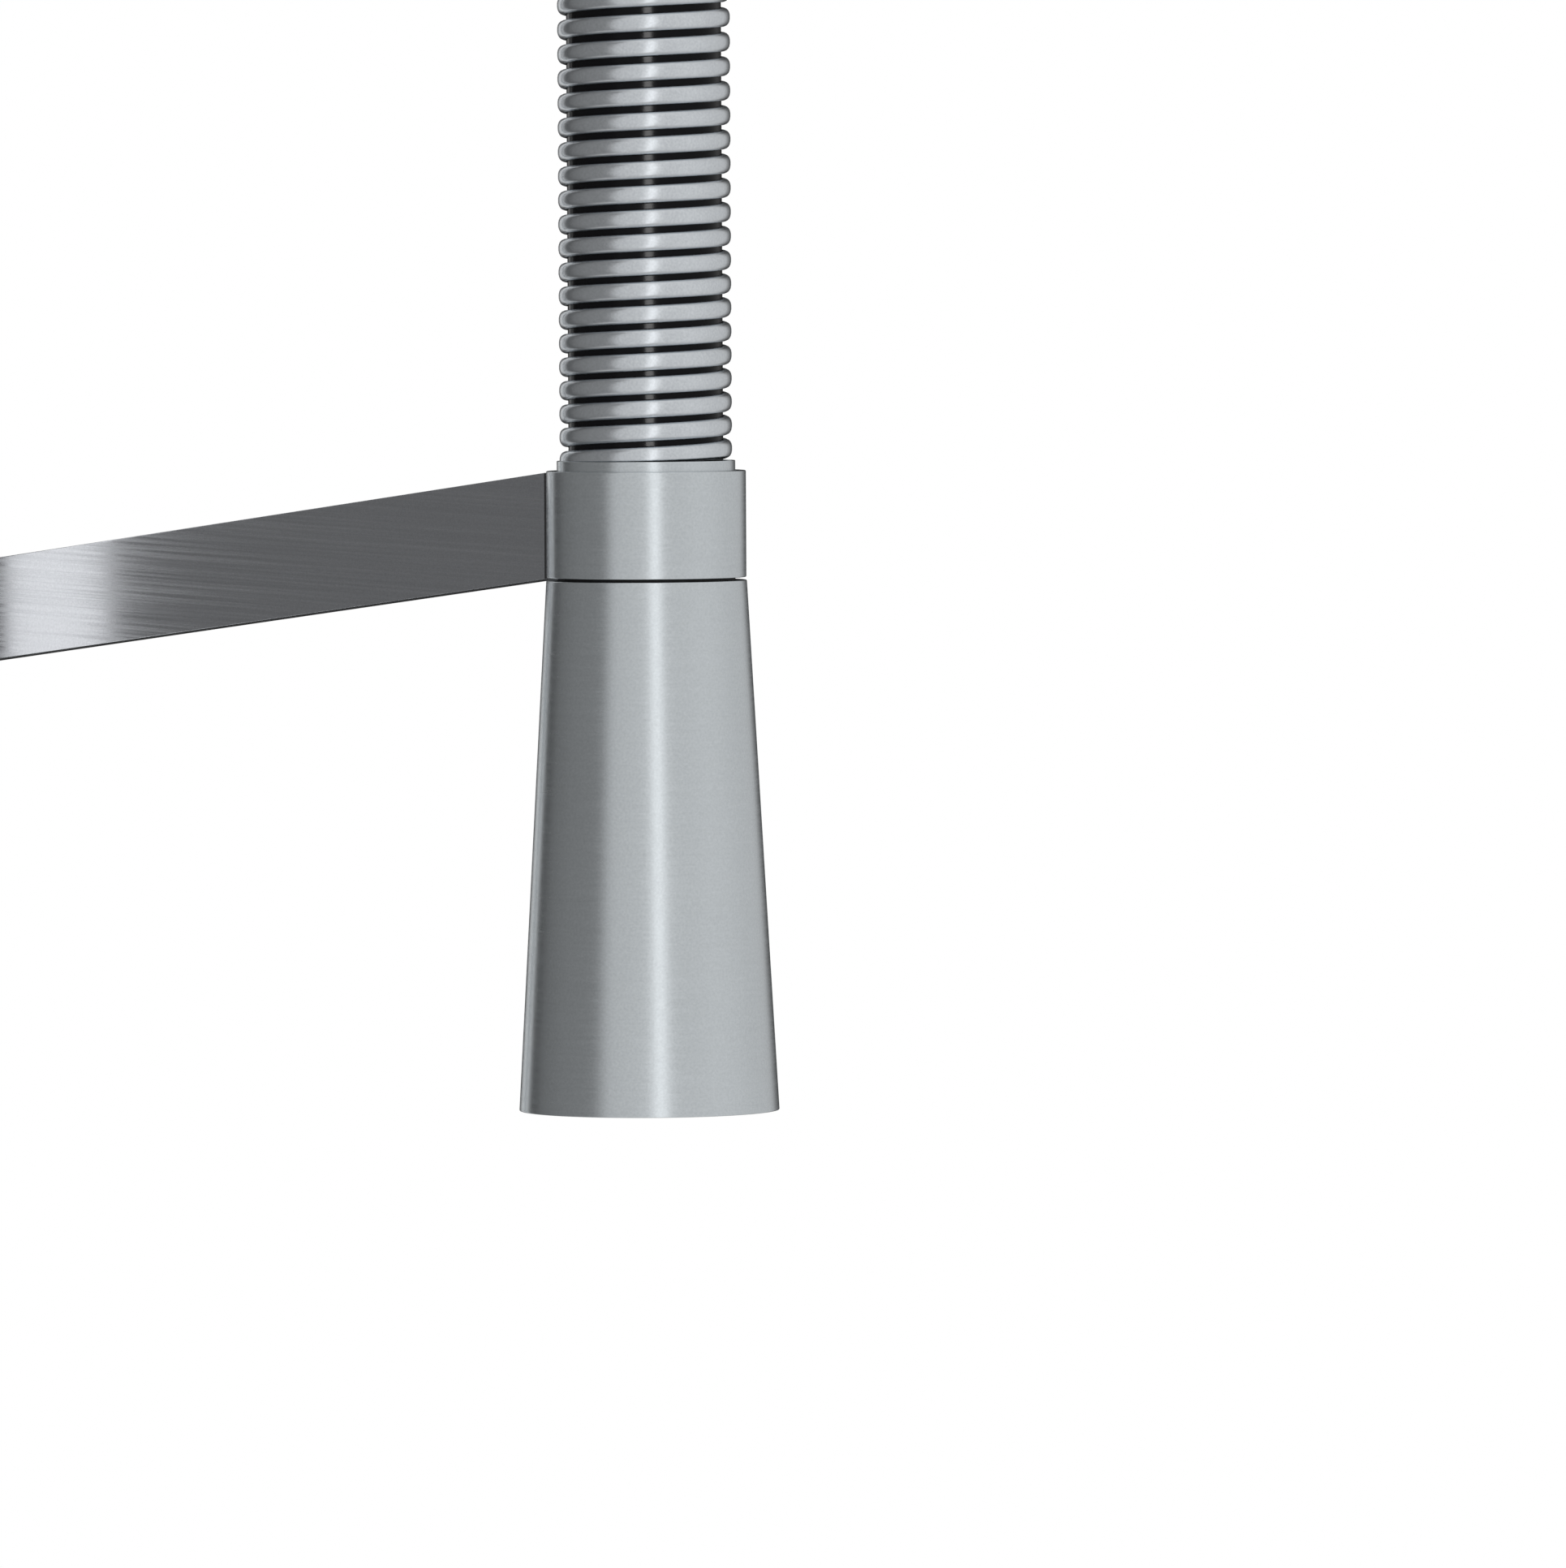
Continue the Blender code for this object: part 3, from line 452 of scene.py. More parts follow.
def eased(outline, closed, ease):
    """The outline with each corner turned into a small curve, and a point beside it on each long side
    so that the flats stay flat. A third number on a point is its own ease."""
    count = len(outline)
    made = []
    for i, point in enumerate(outline):
        here = Vector(point[:2])
        own = point[2] if len(point) > 2 else ease
        if own == 0 or (not closed and i in (0, count - 1)):
            made.append(tuple(here))
            continue
        before = Vector(outline[i - 1][:2]) - here
        after = Vector(outline[(i + 1) % count][:2]) - here
        cut = min(own, 0.42 * before.length, 0.42 * after.length)
        start = here + before.normalized() * cut
        end = here + after.normalized() * cut
        if before.length > 6 * cut:
            made.append(tuple(here + before.normalized() * cut * 1.8))
        for step in range(5):
            t = step / 4
            curve = start * (1 - t) ** 2 + here * 2 * t * (1 - t) + end * t**2
            made.append(tuple(curve))
        if after.length > 6 * cut:
            made.append(tuple(here + after.normalized() * cut * 1.8))
    return made


def turned(name, outline, sides=FINE, ease=EASE, shape=None):
    """A piece turned about its own Z axis. The outline runs from axis to axis, or closes into a ring.
    shape(angle, radius, height) may change a point's radius."""
    closed = outline[0][0] > 0
    points = eased(outline, closed, ease)
    verts = []
    rings = []
    for radius, height in points:
        if radius < 1e-7:
            rings.append([len(verts)] * sides)
            verts.append((0, 0, height))
            continue
        rings.append(list(range(len(verts), len(verts) + sides)))
        for i in range(sides):
            a = 2 * math.pi * i / sides
            r = shape(a, radius, height) if shape else radius
            verts.append((r * math.cos(a), r * math.sin(a), height))
    pairs = list(zip(rings, rings[1:]))
    if closed:
        pairs.append((rings[-1], rings[0]))
    faces = []
    for first, second in pairs:
        for i in range(sides):
            j = (i + 1) % sides
            corners = [first[i], first[j], second[j], second[i]]
            corners = [c for k, c in enumerate(corners) if c not in corners[:k]]
            if len(corners) > 2:
                faces.append(corners)
    return mesh_object(name, verts, faces)


def combined(obj, others, operation):
    """obj cut by, or joined with, each of the others, which are then gone."""
    for other in others:
        step = obj.modifiers.new(other.name, "BOOLEAN")
        step.operation = operation
        step.solver = "EXACT"
        step.object = other
    graph = bpy.context.evaluated_depsgraph_get()
    bpy.context.view_layer.update()
    mesh = bpy.data.meshes.new_from_object(obj.evaluated_get(graph))
    obj.modifiers.clear()
    obj.data = mesh
    for other in others:
        bpy.data.objects.remove(other, do_unlink=True)
    return obj


def rod(name, radius, low, high, axis=None, sides=32):
    """A plain cutter."""
    made = turned(name, [(0, high), (radius, high, 0), (radius, low, 0), (0, low)], sides)
    if axis:
        made.data.transform(axis)
    return made


def settle(obj, body, slot, axis=None, nodes=(), bar=False):
    """Puts a finished piece in its place, on its body and in its finish."""
    if not obj.data.vertices:
        raise RuntimeError(f"{obj.name} came out empty")
    if axis:
        obj.matrix_world = axis
    smooth(obj)
    obj.data.materials.clear()
    obj.data.materials.append(finish_of(slot, bar))
    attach(obj, body)
    if nodes:
        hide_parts(*nodes)
    return obj


def arc(radius, start, stop, steps, centre):
    """Points (r, height) on a circle about the axis, angles in degrees from the axis."""
    made = []
    for i in range(steps + 1):
        a = math.radians(start + (stop - start) * i / steps)
        made.append((radius * math.sin(a), centre + radius * math.cos(a), 0))
    return made


def hexagon(angle, apothem):
    """Radius of a hexagon at an angle."""
    return apothem / math.cos((angle + math.pi / 6) % (math.pi / 3) - math.pi / 6)


def grub_screw(name, low, high):
    """A headless screw with a hexagonal socket in its upper end."""
    deep = high - 1.6 * SCREW_SOCKET
    inner = 0.999 * SCREW_SOCKET
    bevel = 0.35 * MM

    def shape(angle, r, height):
        return hexagon(angle, SCREW_SOCKET) if r < SCREW_SOCKET else r

    outline = [
        (0, deep), (inner, deep, 0), (inner, high, 0), (SCREW_R - bevel, high, 0),
        (SCREW_R, high - bevel, 0), (SCREW_R, low, 0), (0, low),
    ]
    return turned(name, outline, PLAIN, shape=shape)


# Spray head ----------------------------------------------------------------------------------------


def head_radius(height):
    sizes = bpy.context.scene.faucet_sizes
    low, high = low_z("head_shell"), high_z("head_shell")
    t = (high - height) / (high - low)
    return sizes.head_radius + (sizes.face_radius - sizes.head_radius) * t


def make_head_shell(sizes):
    low, high = low_z("head_shell"), high_z("head_shell")
    roof = high - 2.5 * MM
    hole = 9.7 * MM
    outline = [
        (sizes.head_radius, high, 0.22 * MM),
        (sizes.face_radius, low, 0.18 * MM),
        (sizes.face_radius - sizes.head_wall, low, 0.2 * MM),
        (head_radius(roof) - sizes.head_wall, roof),
        (hole, roof),
        (hole, high),
    ]
    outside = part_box("head_bumper")[1].x - sizes.reach + 0.15 * MM
    inside = outside - 3.3 * MM
    floor = high - 1.1 * MM  # of the groove that holds the rubber ring
    outline += [(inside, high), (inside, floor), (outside, floor), (outside, high)]
    shell = turned("spray_head_shell", outline, FINEST)
    settle(shell, "spray_head", "brushed_steel", HEAD_AXIS, ["head_shell"])


NOZZLE_ROWS = ((6, 5 * MM), (12, 10 * MM), (18, 14.6 * MM))  # count and radius of each


def nozzle_places():
    """Where the nozzles stand on the spray face."""
    made = []
    for count, radius in NOZZLE_ROWS:
        for i in range(count):
            a = 2 * math.pi * i / count
            made.append((radius * math.cos(a), radius * math.sin(a)))
    return made


def joined(name, parts):
    """Several meshes as one object."""
    cage = bmesh.new()
    for part in parts:
        cage.from_mesh(part.data)
        bpy.data.objects.remove(part, do_unlink=True)
    mesh = bpy.data.meshes.new(name)
    cage.to_mesh(mesh)
    cage.free()
    made = bpy.data.objects.new(name, mesh)
    bpy.context.scene.collection.objects.link(made)
    return made


def make_spray_face(sizes):
    """The plate and the silicone nozzles that stand in its holes."""
    low, high = low_z("spray_plate"), high_z("spray_plate")
    radius = head_radius(high) - sizes.head_wall - 0.12 * MM
    outline = [(0, high), (radius, high), (radius, low, 0.5 * MM), (0, low)]
    plate = turned("spray_face_plate", outline)
    hole = 1.35 * MM
    holes = []
    for i, (x, y) in enumerate(nozzle_places()):
        holes.append(rod(f"hole_{i}", hole, low - MM, high + MM, Matrix.Translation((x, y, 0)), 20))
    plate = combined(plate, [joined("nozzle_holes", holes)], "DIFFERENCE")
    settle(plate, "spray_head", "brushed_steel", HEAD_AXIS, ["spray_plate"])

    floor, top = low_z("nozzle_mat"), high_z("nozzle_mat")
    back = high + 0.3 * MM
    mat_r = 17.2 * MM
    root = back + 0.4 * MM
    mat = [turned("mat", [(0, top), (mat_r, top), (mat_r, back), (0, back)])]
    nozzle = [
        (0, root),
        (1.05 * MM, root, 0),
        (0.98 * MM, floor + 0.5 * MM),
        (0.8 * MM, floor, 0.15 * MM),
        (0.4 * MM, floor, 0.1 * MM),
        (0.34 * MM, floor + 0.9 * MM, 0),
        (0, floor + 0.9 * MM),
    ]
    for i, (x, y) in enumerate(nozzle_places()):
        one = turned(f"nozzle_{i}", nozzle, 16)
        one.data.transform(Matrix.Translation((x, y, 0)))
        mat.append(one)
    made = joined("spray_nozzle_mat", mat)
    settle(made, "spray_head", "grey_silicone", HEAD_AXIS, ["nozzle_mat"])


# Docking collar, sleeve and arm --------------------------------------------------------------------

BAR_EDGE = 0.14 * MM  # how far the bar's long edges are broken
ARM_GAP = 0.02 * MM  # between the arm's ends and the round pieces they meet
LUG_LONG = 7.75 * MM  # the collar's lug, from its round wall to the bar
PAINTED_SHADOW_WIDE = 0.7 * MM  # width of the thin black strip between the bar and the lug, a painted shadow line where the arm passes behind the collar
PAINTED_SHADOW_DEEP = 0.05 * MM
PAINTED_SHADOW_EDGE = 0.1 * MM


def arm_slope():
    """Rise of the arm for each unit of reach, from the corners of its CAD node."""
    low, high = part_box("support_arm")
    sizes = bpy.context.scene.faucet_sizes
    return (high.z - low.z - sizes.arm_height) / (high.x - low.x)


def make_collar():
    low, high = low_z("dock_collar"), high_z("dock_collar")
    outer = wide("dock_collar")
    bore = 14.6 * MM
    outline = [
        (outer, high, 0.22 * MM), (outer, low, 0.2 * MM), (bore, low, 0.2 * MM), (bore, high, 0.2 * MM)
    ]
    collar = turned("docking_collar", outline, FINEST)
    settle(collar, "spout", "brushed_steel", HEAD_AXIS, ["dock_collar"])


def make_sleeve():
    low, high = low_z("dock_sleeve"), high_z("dock_sleeve")
    outer = wide("dock_sleeve")
    floor = low + 5.1 * MM
    bore = 6.3 * MM
    inner = outer - 0.36 * MM
    rim = 0.1 * MM
    outline = [
        (outer, high, rim), (outer, low, rim), (bore, low), (bore, floor), (inner, floor),
        (inner, high, rim),
    ]
    sleeve = turned("docking_sleeve", outline, FINEST)
    settle(sleeve, "hose_end", "brushed_steel", HEAD_AXIS, ["dock_sleeve"])


def bar_section(half_y, half_z, edge):
    """A rectangle with eased corners, as (y, z)."""
    corners = [(half_y, -half_z), (half_y, half_z), (-half_y, half_z), (-half_y, -half_z)]
    return eased(corners, True, edge)


def bar_between(name, section, start, stop, steps):
    """A bar along the arm's slope. Its ends, start and stop, are functions of y."""
    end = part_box("support_arm")[1]
    slope = arm_slope()
    end_z = end.z - bpy.context.scene.faucet_sizes.arm_height / 2
    sections = []
    for i in range(steps + 1):
        row = [(start(y) + (stop(y) - start(y)) * i / steps, y, z) for y, z in section]
        sections.append([(x, y, end_z - slope * (end.x - x) + z) for x, y, z in row])
    return drawn_through(name, sections)


def make_arm(sizes):
    """The flat bar on edge, the collar's short lug and a thin black strip of painted shadow between the
    two.
    """
    half_y, half_z = sizes.arm_thick / 2, sizes.arm_height / 2
    hub_r, collar_r = wide("arm_hub"), wide("dock_collar")
    near = sizes.reach - collar_r - LUG_LONG
    far = near + PAINTED_SHADOW_WIDE

    def by_hub(y):
        return math.sqrt(hub_r**2 - y**2) + ARM_GAP

    def by_collar(y):
        return sizes.reach - math.sqrt(collar_r**2 - y**2) - ARM_GAP

    section = bar_section(half_y, half_z, BAR_EDGE)
    inside = bar_section(half_y - PAINTED_SHADOW_DEEP, half_z - PAINTED_SHADOW_DEEP, PAINTED_SHADOW_EDGE)
    bar = bar_between("docking_arm", section, by_hub, lambda y: near, 24)
    settle(bar, "spout", "brushed_steel", None, ["support_arm"], bar=True)
    lug = bar_between("docking_collar_lug", section, lambda y: far, by_collar, 2)
    settle(lug, "spout", "brushed_steel", None, ["support_arm"], bar=True)
    # a thin black strip set a little into the bar's faces: painted shadow where the arm passes behind
    # the collar
    shadow_line = bar_between("docking_arm_joint", inside, lambda y: near, lambda y: far, 1)
    settle(shadow_line, "spout", "black_rubber")


def make_arm_hub():
    low, high = low_z("arm_hub"), high_z("arm_hub")
    outer = wide("arm_hub")
    bore = wide("riser_tube") + 0.05 * MM
    outline = [(outer, high, 0.8 * MM), (outer, low, 0.8 * MM), (bore, low), (bore, high)]
    hub = turned("docking_arm_hub", outline)
    halfway = Matrix.Translation((0, 0, (low + high) / 2))
    hole = rod("hub_hole", SCREW_HOLE, -25 * MM, -10 * MM, halfway @ TO_X)
    hub = combined(hub, [hole], "DIFFERENCE")
    settle(hub, "spout", "brushed_steel", BODY_AXIS, ["arm_hub"])
    screw = grub_screw("hub_grub_screw", 15.3 * MM, 19 * MM)
    settle(screw, "spout", "plated_steel", halfway @ TO_BACK, ["hub_screw"])


# Spring and hose -----------------------------------------------------------------------------------


class Route:
    """The line from the docking sleeve up, over the arch and down to the riser."""

    def __init__(self, sizes, low, end):
        self.reach = sizes.reach
        self.radius = sizes.reach / 2
        self.arch_z = sizes.arch_z
        self.low = low
        self.drop = sizes.arch_z - low
        self.bend = math.pi * self.radius
        self.length = self.drop + self.bend + sizes.arch_z - end

    def at(self, s):
        """(place, outward direction, direction of travel) at a distance along the line."""
        if s <= self.drop:
            return Vector((self.reach, 0, self.low + s)), Vector((1, 0, 0)), Vector((0, 0, 1))
        if s >= self.drop + self.bend:
            z = self.arch_z - (s - self.drop - self.bend)
            return Vector((0, 0, z)), Vector((-1, 0, 0)), Vector((0, 0, -1))
        a = (s - self.drop) / self.radius
        out = Vector((math.cos(a), 0, math.sin(a)))
        centre = Vector((self.radius, 0, self.arch_z))
        return centre + out * self.radius, out, Vector((-math.sin(a), 0, math.cos(a)))


SIDE = Vector((0, 1, 0))
FRONT_TURN = math.radians(CAMERA_TURN - 90)  # the side of the spring that faces the camera
FIRST_GAP_Z = 306.972 * MM  # height of a gap between two turns on that side
FIRST_TURN = -1.15  # where the wire starts, counted in turns from that gap
PITCH_GROWTH = 12.36 * 0.001 * MM  # how much each turn's pitch gains on the one below it
PER_TURN = 44  # sections of the wire in each turn
WIRE_SIDES = 12
FLATNESS = 0.84  # 1 for a wire with a half-round face, and less for a flatter one
SPRING_FOOT = 16.6 * MM  # where the spring's lowest turn sits, from the sleeve's lower end
HOSE_WALL = 3.3 * MM


def coil_places(sizes, route):
    """The middle of the wire's back: its turns close up towards the docking sleeve."""
    radius = sizes.spring_radius - sizes.wire_deep
    settled = (sizes.high_pitch - sizes.low_pitch) / PITCH_GROWTH
    step = 1 / PER_TURN
    turn = FIRST_TURN
    made = []
    while True:
        growing = min(turn, settled)
        s = sizes.low_pitch * growing + PITCH_GROWTH * growing**2 / 2
        s += sizes.high_pitch * (turn - growing)
        s += FIRST_GAP_Z - route.low
        if s > route.length:
            return made
        place, out, along = route.at(max(s, 0.0))
        angle = FRONT_TURN + math.pi + 2 * math.pi * turn
        direction = out * math.cos(angle) + SIDE * math.sin(angle)
        made.append((place + direction * radius, direction, along))
        turn += step


def make_spring(sizes):
    """One D-shaped wire wound along the whole route, right-handed, with its round side out."""
    low = low_z("dock_sleeve") + SPRING_FOOT
    route = Route(sizes, low, high_z("spring_seat") - 0.1 * MM)
    section = []
    for i in range(WIRE_SIDES):
        a = math.radians(-90 + 180 * i / (WIRE_SIDES - 1))
        out = abs(math.cos(a)) ** FLATNESS
        up = math.copysign(abs(math.sin(a)) ** FLATNESS, math.sin(a))
        section.append((sizes.wire_deep * out, sizes.wire / 2 * up))
    sections = [
        [centre + out * x + along * y for x, y in section]
        for centre, out, along in coil_places(sizes, route)
    ]
    spring = drawn_through("coil_spring_wire", sections)
    dress_flexible(spring, "spring_steel", "coil_spring")


def dress_flexible(obj, slot, node):
    """Smooths a piece that runs over the arch from the riser's side to the hose's end, gives it its
    finish, applies its transform and hides its CAD node.
    """
    smooth(obj, 60)
    obj.data.materials.append(finish_of(slot))
    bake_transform(obj)
    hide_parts(node)


def make_hose(sizes):
    """The hose inside the spring, a hollow tube."""
    route = Route(sizes, low_z("spray_hose"), high_z("spring_seat"))
    outer = sizes.hose_radius
    inner = outer - HOSE_WALL
    sides = PLAIN
    steps = 130
    verts = []
    for i in range(steps + 1):
        place, out, _ = route.at(route.length * i / steps)
        for radius in (outer, inner):
            for j in range(sides):
                a = 2 * math.pi * j / sides
                verts.append(place + out * radius * math.cos(a) + SIDE * radius * math.sin(a))
    row = 2 * sides
    faces = []
    for i in range(steps):
        for base in (0, sides):
            for j in range(sides):
                k = (j + 1) % sides
                first = i * row + base
                faces.append((first + j, first + k, first + row + k, first + row + j))
    for first in (0, steps * row):
        for j in range(sides):
            k = (j + 1) % sides
            faces.append((first + j, first + k, first + sides + k, first + sides + j))
    hose = mesh_object("spray_hose_tube", verts, faces)
    dress_flexible(hose, "black_hose", "spray_hose")


def make_ferrules(sizes):
    """Sleeves at the hose's two ends, one inside it and one outside, each with three grooves."""
    for name, node, axis, body, inner in (
        ("upper_hose_ferrule", "upper_ferrule", BODY_AXIS, "spout", 5.9 * MM),
        ("lower_hose_ferrule", "lower_ferrule", HEAD_AXIS, "hose_end", sizes.hose_radius + 0.2 * MM),
    ):
        low, high = low_z(node), high_z(node)
        outer = wide(node)
        floor = outer - 0.35 * MM
        lip, half = 0.9 * MM, 0.4 * MM
        outline = [(outer, high)]
        for part_up in (0.72, 0.5, 0.28):
            z = low + (high - low) * part_up
            outline += [(outer, z + lip), (floor, z + half), (floor, z - half), (outer, z - lip)]
        outline += [(outer, low), (inner, low), (inner, high)]
        ferrule = turned(name, outline, PLAIN, 0.12 * MM)
        settle(ferrule, body, "plated_steel", axis, [node])


# Riser and swivel ----------------------------------------------------------------------------------


def make_riser():
    low, high = low_z("riser_tube"), high_z("riser_tube")
    outer, inner = wide("riser_tube"), 12 * MM
    tube = turned("riser_pipe", [(outer, high), (outer, low), (inner, low), (inner, high)])
    settle(tube, "spout", "brushed_steel", BODY_AXIS, ["riser_tube"])


def make_spring_seat():
    """Closes the riser; its thin rim holds the spring's first turn."""
    rim_z = high_z("spring_seat")
    low = low_z("spring_seat")
    flange_r = wide("spring_seat")
    flange_z = rim_z - 1.6 * MM
    under = flange_z - 4.2 * MM
    rim_r = wide("dock_sleeve")
    inner = rim_r - 0.36 * MM
    plug = 11.7 * MM
    bore = 6 * MM
    outline = [
        (rim_r, rim_z, 0.1 * MM), (rim_r, flange_z, 0.15 * MM), (flange_r, flange_z, 0.35 * MM),
        (flange_r, under, 0.35 * MM), (plug, under), (plug, low), (bore, low), (bore, flange_z),
        (inner, flange_z), (inner, rim_z, 0.1 * MM),
    ]
    seat = turned("spring_seat_cap", outline)
    settle(seat, "spout", "brushed_steel", BODY_AXIS, ["spring_seat"])


def make_swivel_collar():
    low, high = low_z("swivel_collar"), high_z("swivel_collar")
    outer = wide("swivel_collar")
    top_r = 19.5 * MM
    bore = wide("riser_tube") + 0.06 * MM
    outline = [
        (top_r, high, 0.6 * MM), (outer, high - 3.5 * MM, 1.2 * MM), (outer, low, 0.4 * MM),
        (bore, low), (bore, high, 0.3 * MM),
    ]
    collar = turned("swivel_cover", outline)
    settle(collar, "spout", "brushed_steel", BODY_AXIS, ["swivel_collar"])


# Valve body and foot -------------------------------------------------------------------------------

BOSS_R = 20.5 * MM  # the barrel's side boss and the lever's hub


def make_valve_body():
    """The barrel with its side boss, bored for the cartridge, the swivel and the inlets."""
    low, high = low_z("valve_body"), high_z("valve_body")
    outer = 23 * MM
    bore = 18.3 * MM  # for the swivel
    floor = high - 38 * MM
    socket = 16.3 * MM  # for the shank
    socket_z = low + 12 * MM
    cartridge = 17.8 * MM
    inlet = 4.3 * MM
    boss_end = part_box("valve_body")[1].y
    outline = [
        (0, floor), (bore, floor), (bore, high, 0.3 * MM), (outer, high, 0.6 * MM),
        (outer, low, 0.6 * MM), (socket, low), (socket, socket_z), (0, socket_z),
    ]
    body = turned("valve_barrel", outline)
    boss = turned("boss", [(0, boss_end), (BOSS_R, boss_end, 0.4 * MM), (BOSS_R, MM, 0), (0, MM)])
    boss.data.transform(VALVE_AXIS)
    body = combined(body, [boss], "UNION")
    screw_at = Matrix.Translation((0, 0, middle("retaining_screw").z))
    cutters = [
        rod("cartridge_bore", cartridge, 12 * MM, boss_end + MM, VALVE_AXIS, 64),
        rod("screw_hole", SCREW_HOLE, -30 * MM, -10 * MM, screw_at @ TO_X),
    ]
    for node in ("hot_nipple", "cold_nipple"):
        foot = Matrix.Translation((middle(node).x, middle(node).y, 0))
        top = high_z(node) + 0.3 * MM
        cutters.append(rod(node + "_thread", inlet, socket_z - MM, top, foot))
    body = combined(body, cutters, "DIFFERENCE")
    settle(body, "base", "brushed_steel", BODY_AXIS, ["valve_body"])
    screw = grub_screw("swivel_grub_screw", 14.2 * MM, 22.4 * MM)
    settle(screw, "base", "plated_steel", screw_at @ TO_BACK, ["retaining_screw"])


def make_foot():
    """The ring that the barrel stands on, and the gasket in the groove under it."""
    high = high_z("base_ring")
    outer, top_r = wide("base_ring"), 26.5 * MM
    hole = 16.4 * MM
    wall_out, wall_in, roof = 26.8 * MM, 23.5 * MM, 1.8 * MM
    outline = [
        (top_r, high, 0.5 * MM), (outer, high - 1.5 * MM, 0.9 * MM), (outer, 0, 0.2 * MM),
        (wall_out, 0), (wall_out, roof), (wall_in, roof), (wall_in, 0), (hole, 0), (hole, high),
    ]
    ring = turned("deck_ring", outline)
    settle(ring, "base", "brushed_steel", BODY_AXIS, ["base_ring"])
    outer, inner, top = 26.5 * MM, 23.8 * MM, 1.5 * MM
    gasket = turned("deck_gasket", [(outer, top), (outer, 0), (inner, 0), (inner, top)])
    settle(gasket, "base", "black_rubber", BODY_AXIS, ["base_gasket"])


def make_shank(sizes):
    """The threaded shank, its nut and the two washers."""
    low, high = low_z("mounting_shank"), high_z("mounting_shank")
    outer, bore = wide("mounting_shank"), 12.5 * MM
    pitch = sizes.thread
    deep = 0.8 * MM
    thread_top = -1.5 * MM
    rows = [(outer - deep, low, 0)]
    count = int((thread_top - low) / pitch * 6)  # six rows to each turn of the thread
    for i in range(1, count + 1):
        rows.append((outer, low + (thread_top - low) * i / count, 0))
    rows += [(outer, thread_top + 0.5 * MM, 0), (outer, high, 0.5 * MM), (bore, high), (bore, low)]

    def threaded(angle, radius, height):
        if radius < outer - 1.5 * deep or height > thread_top - 1e-6:
            return radius
        turn = height / pitch - angle / (2 * math.pi)
        ramp = min(1.0, (height - low) / (1.2 * MM), (thread_top - height) / MM)
        chamfer = deep * (1 - ramp) * (height < low + 1.3 * MM)
        return outer - chamfer - deep * ramp * abs(2 * (turn % 1) - 1)

    shank = turned("threaded_shank", rows[::-1], 72, 0.3 * MM, threaded)
    settle(shank, "base", "brass", BODY_AXIS, ["mounting_shank"])

    low, high = low_z("shank_nut"), high_z("shank_nut")
    corner = 26 * MM
    apothem = corner * math.cos(math.pi / 6)
    bore = outer + 0.2 * MM
    top_r = apothem + 0.1 * MM

    def nut_shape(angle, radius, height):
        return min(radius, hexagon(angle, apothem)) if radius > 20 * MM else radius

    corner_drop, steps = 1.7 * MM, 8
    outline = [(top_r, high, 0)]
    for i in range(1, steps + 1):
        depth = corner_drop * i / steps
        outline.append((top_r + 3.6 * MM * math.sqrt(i / steps), high - depth, 0))
    outline += [(r, high + low - z, 0) for r, z, _ in outline[::-1]]
    mouth, sink = bore + 0.7 * MM, 0.8 * MM
    outline += [(mouth, low, 0), (bore, low + sink, 0), (bore, high - sink, 0), (mouth, high, 0)]
    nut = turned("deck_nut", outline, FINE, EASE, nut_shape)
    settle(nut, "base", "brass", BODY_AXIS, ["shank_nut"])

    inner = outer + 0.6 * MM
    for name, node, slot, ease in (
        ("deck_rubber_washer", "rubber_washer", "black_rubber", 0.5 * MM),
        ("deck_steel_washer", "clamp_washer", "plated_steel", 0.3 * MM),
    ):
        low, high = low_z(node), high_z(node)
        edge = wide(node)
        washer = turned(name, [(edge, high), (edge, low), (inner, low), (inner, high)], FINE, ease)
        settle(washer, "base", slot, BODY_AXIS, [node])


# Lever ---------------------------------------------------------------------------------------------

PIN = 33 * MM  # from the barrel's axis to the pin that the lever rocks on
DOME_R = 20.9 * MM  # the bonnet's dome, about that pin
DOME_MOUTH = 11.2 * MM  # radius of the opening in its top
CUP_R = 21.3 * MM  # the hollow in the hub that clears the dome
CUP_LOW = 11.4 * MM  # the hub's lower end, from the pin


def make_bonnet():
    """A dome centred on the lever's rocking pin."""
    wall = 1.5 * MM
    edge = math.degrees(math.asin(BOSS_R / DOME_R))
    mouth = math.degrees(math.asin(DOME_MOUTH / DOME_R))
    outside = arc(DOME_R, mouth, edge, 20, PIN)
    inside = arc(DOME_R - wall, edge - 8, mouth + 1, 14, PIN)
    foot = outside[-1][1]
    dome = turned("valve_bonnet", [*outside, (inside[0][0], foot, 0), *inside])
    settle(dome, "base", "brushed_steel", VALVE_AXIS, ["bonnet"])


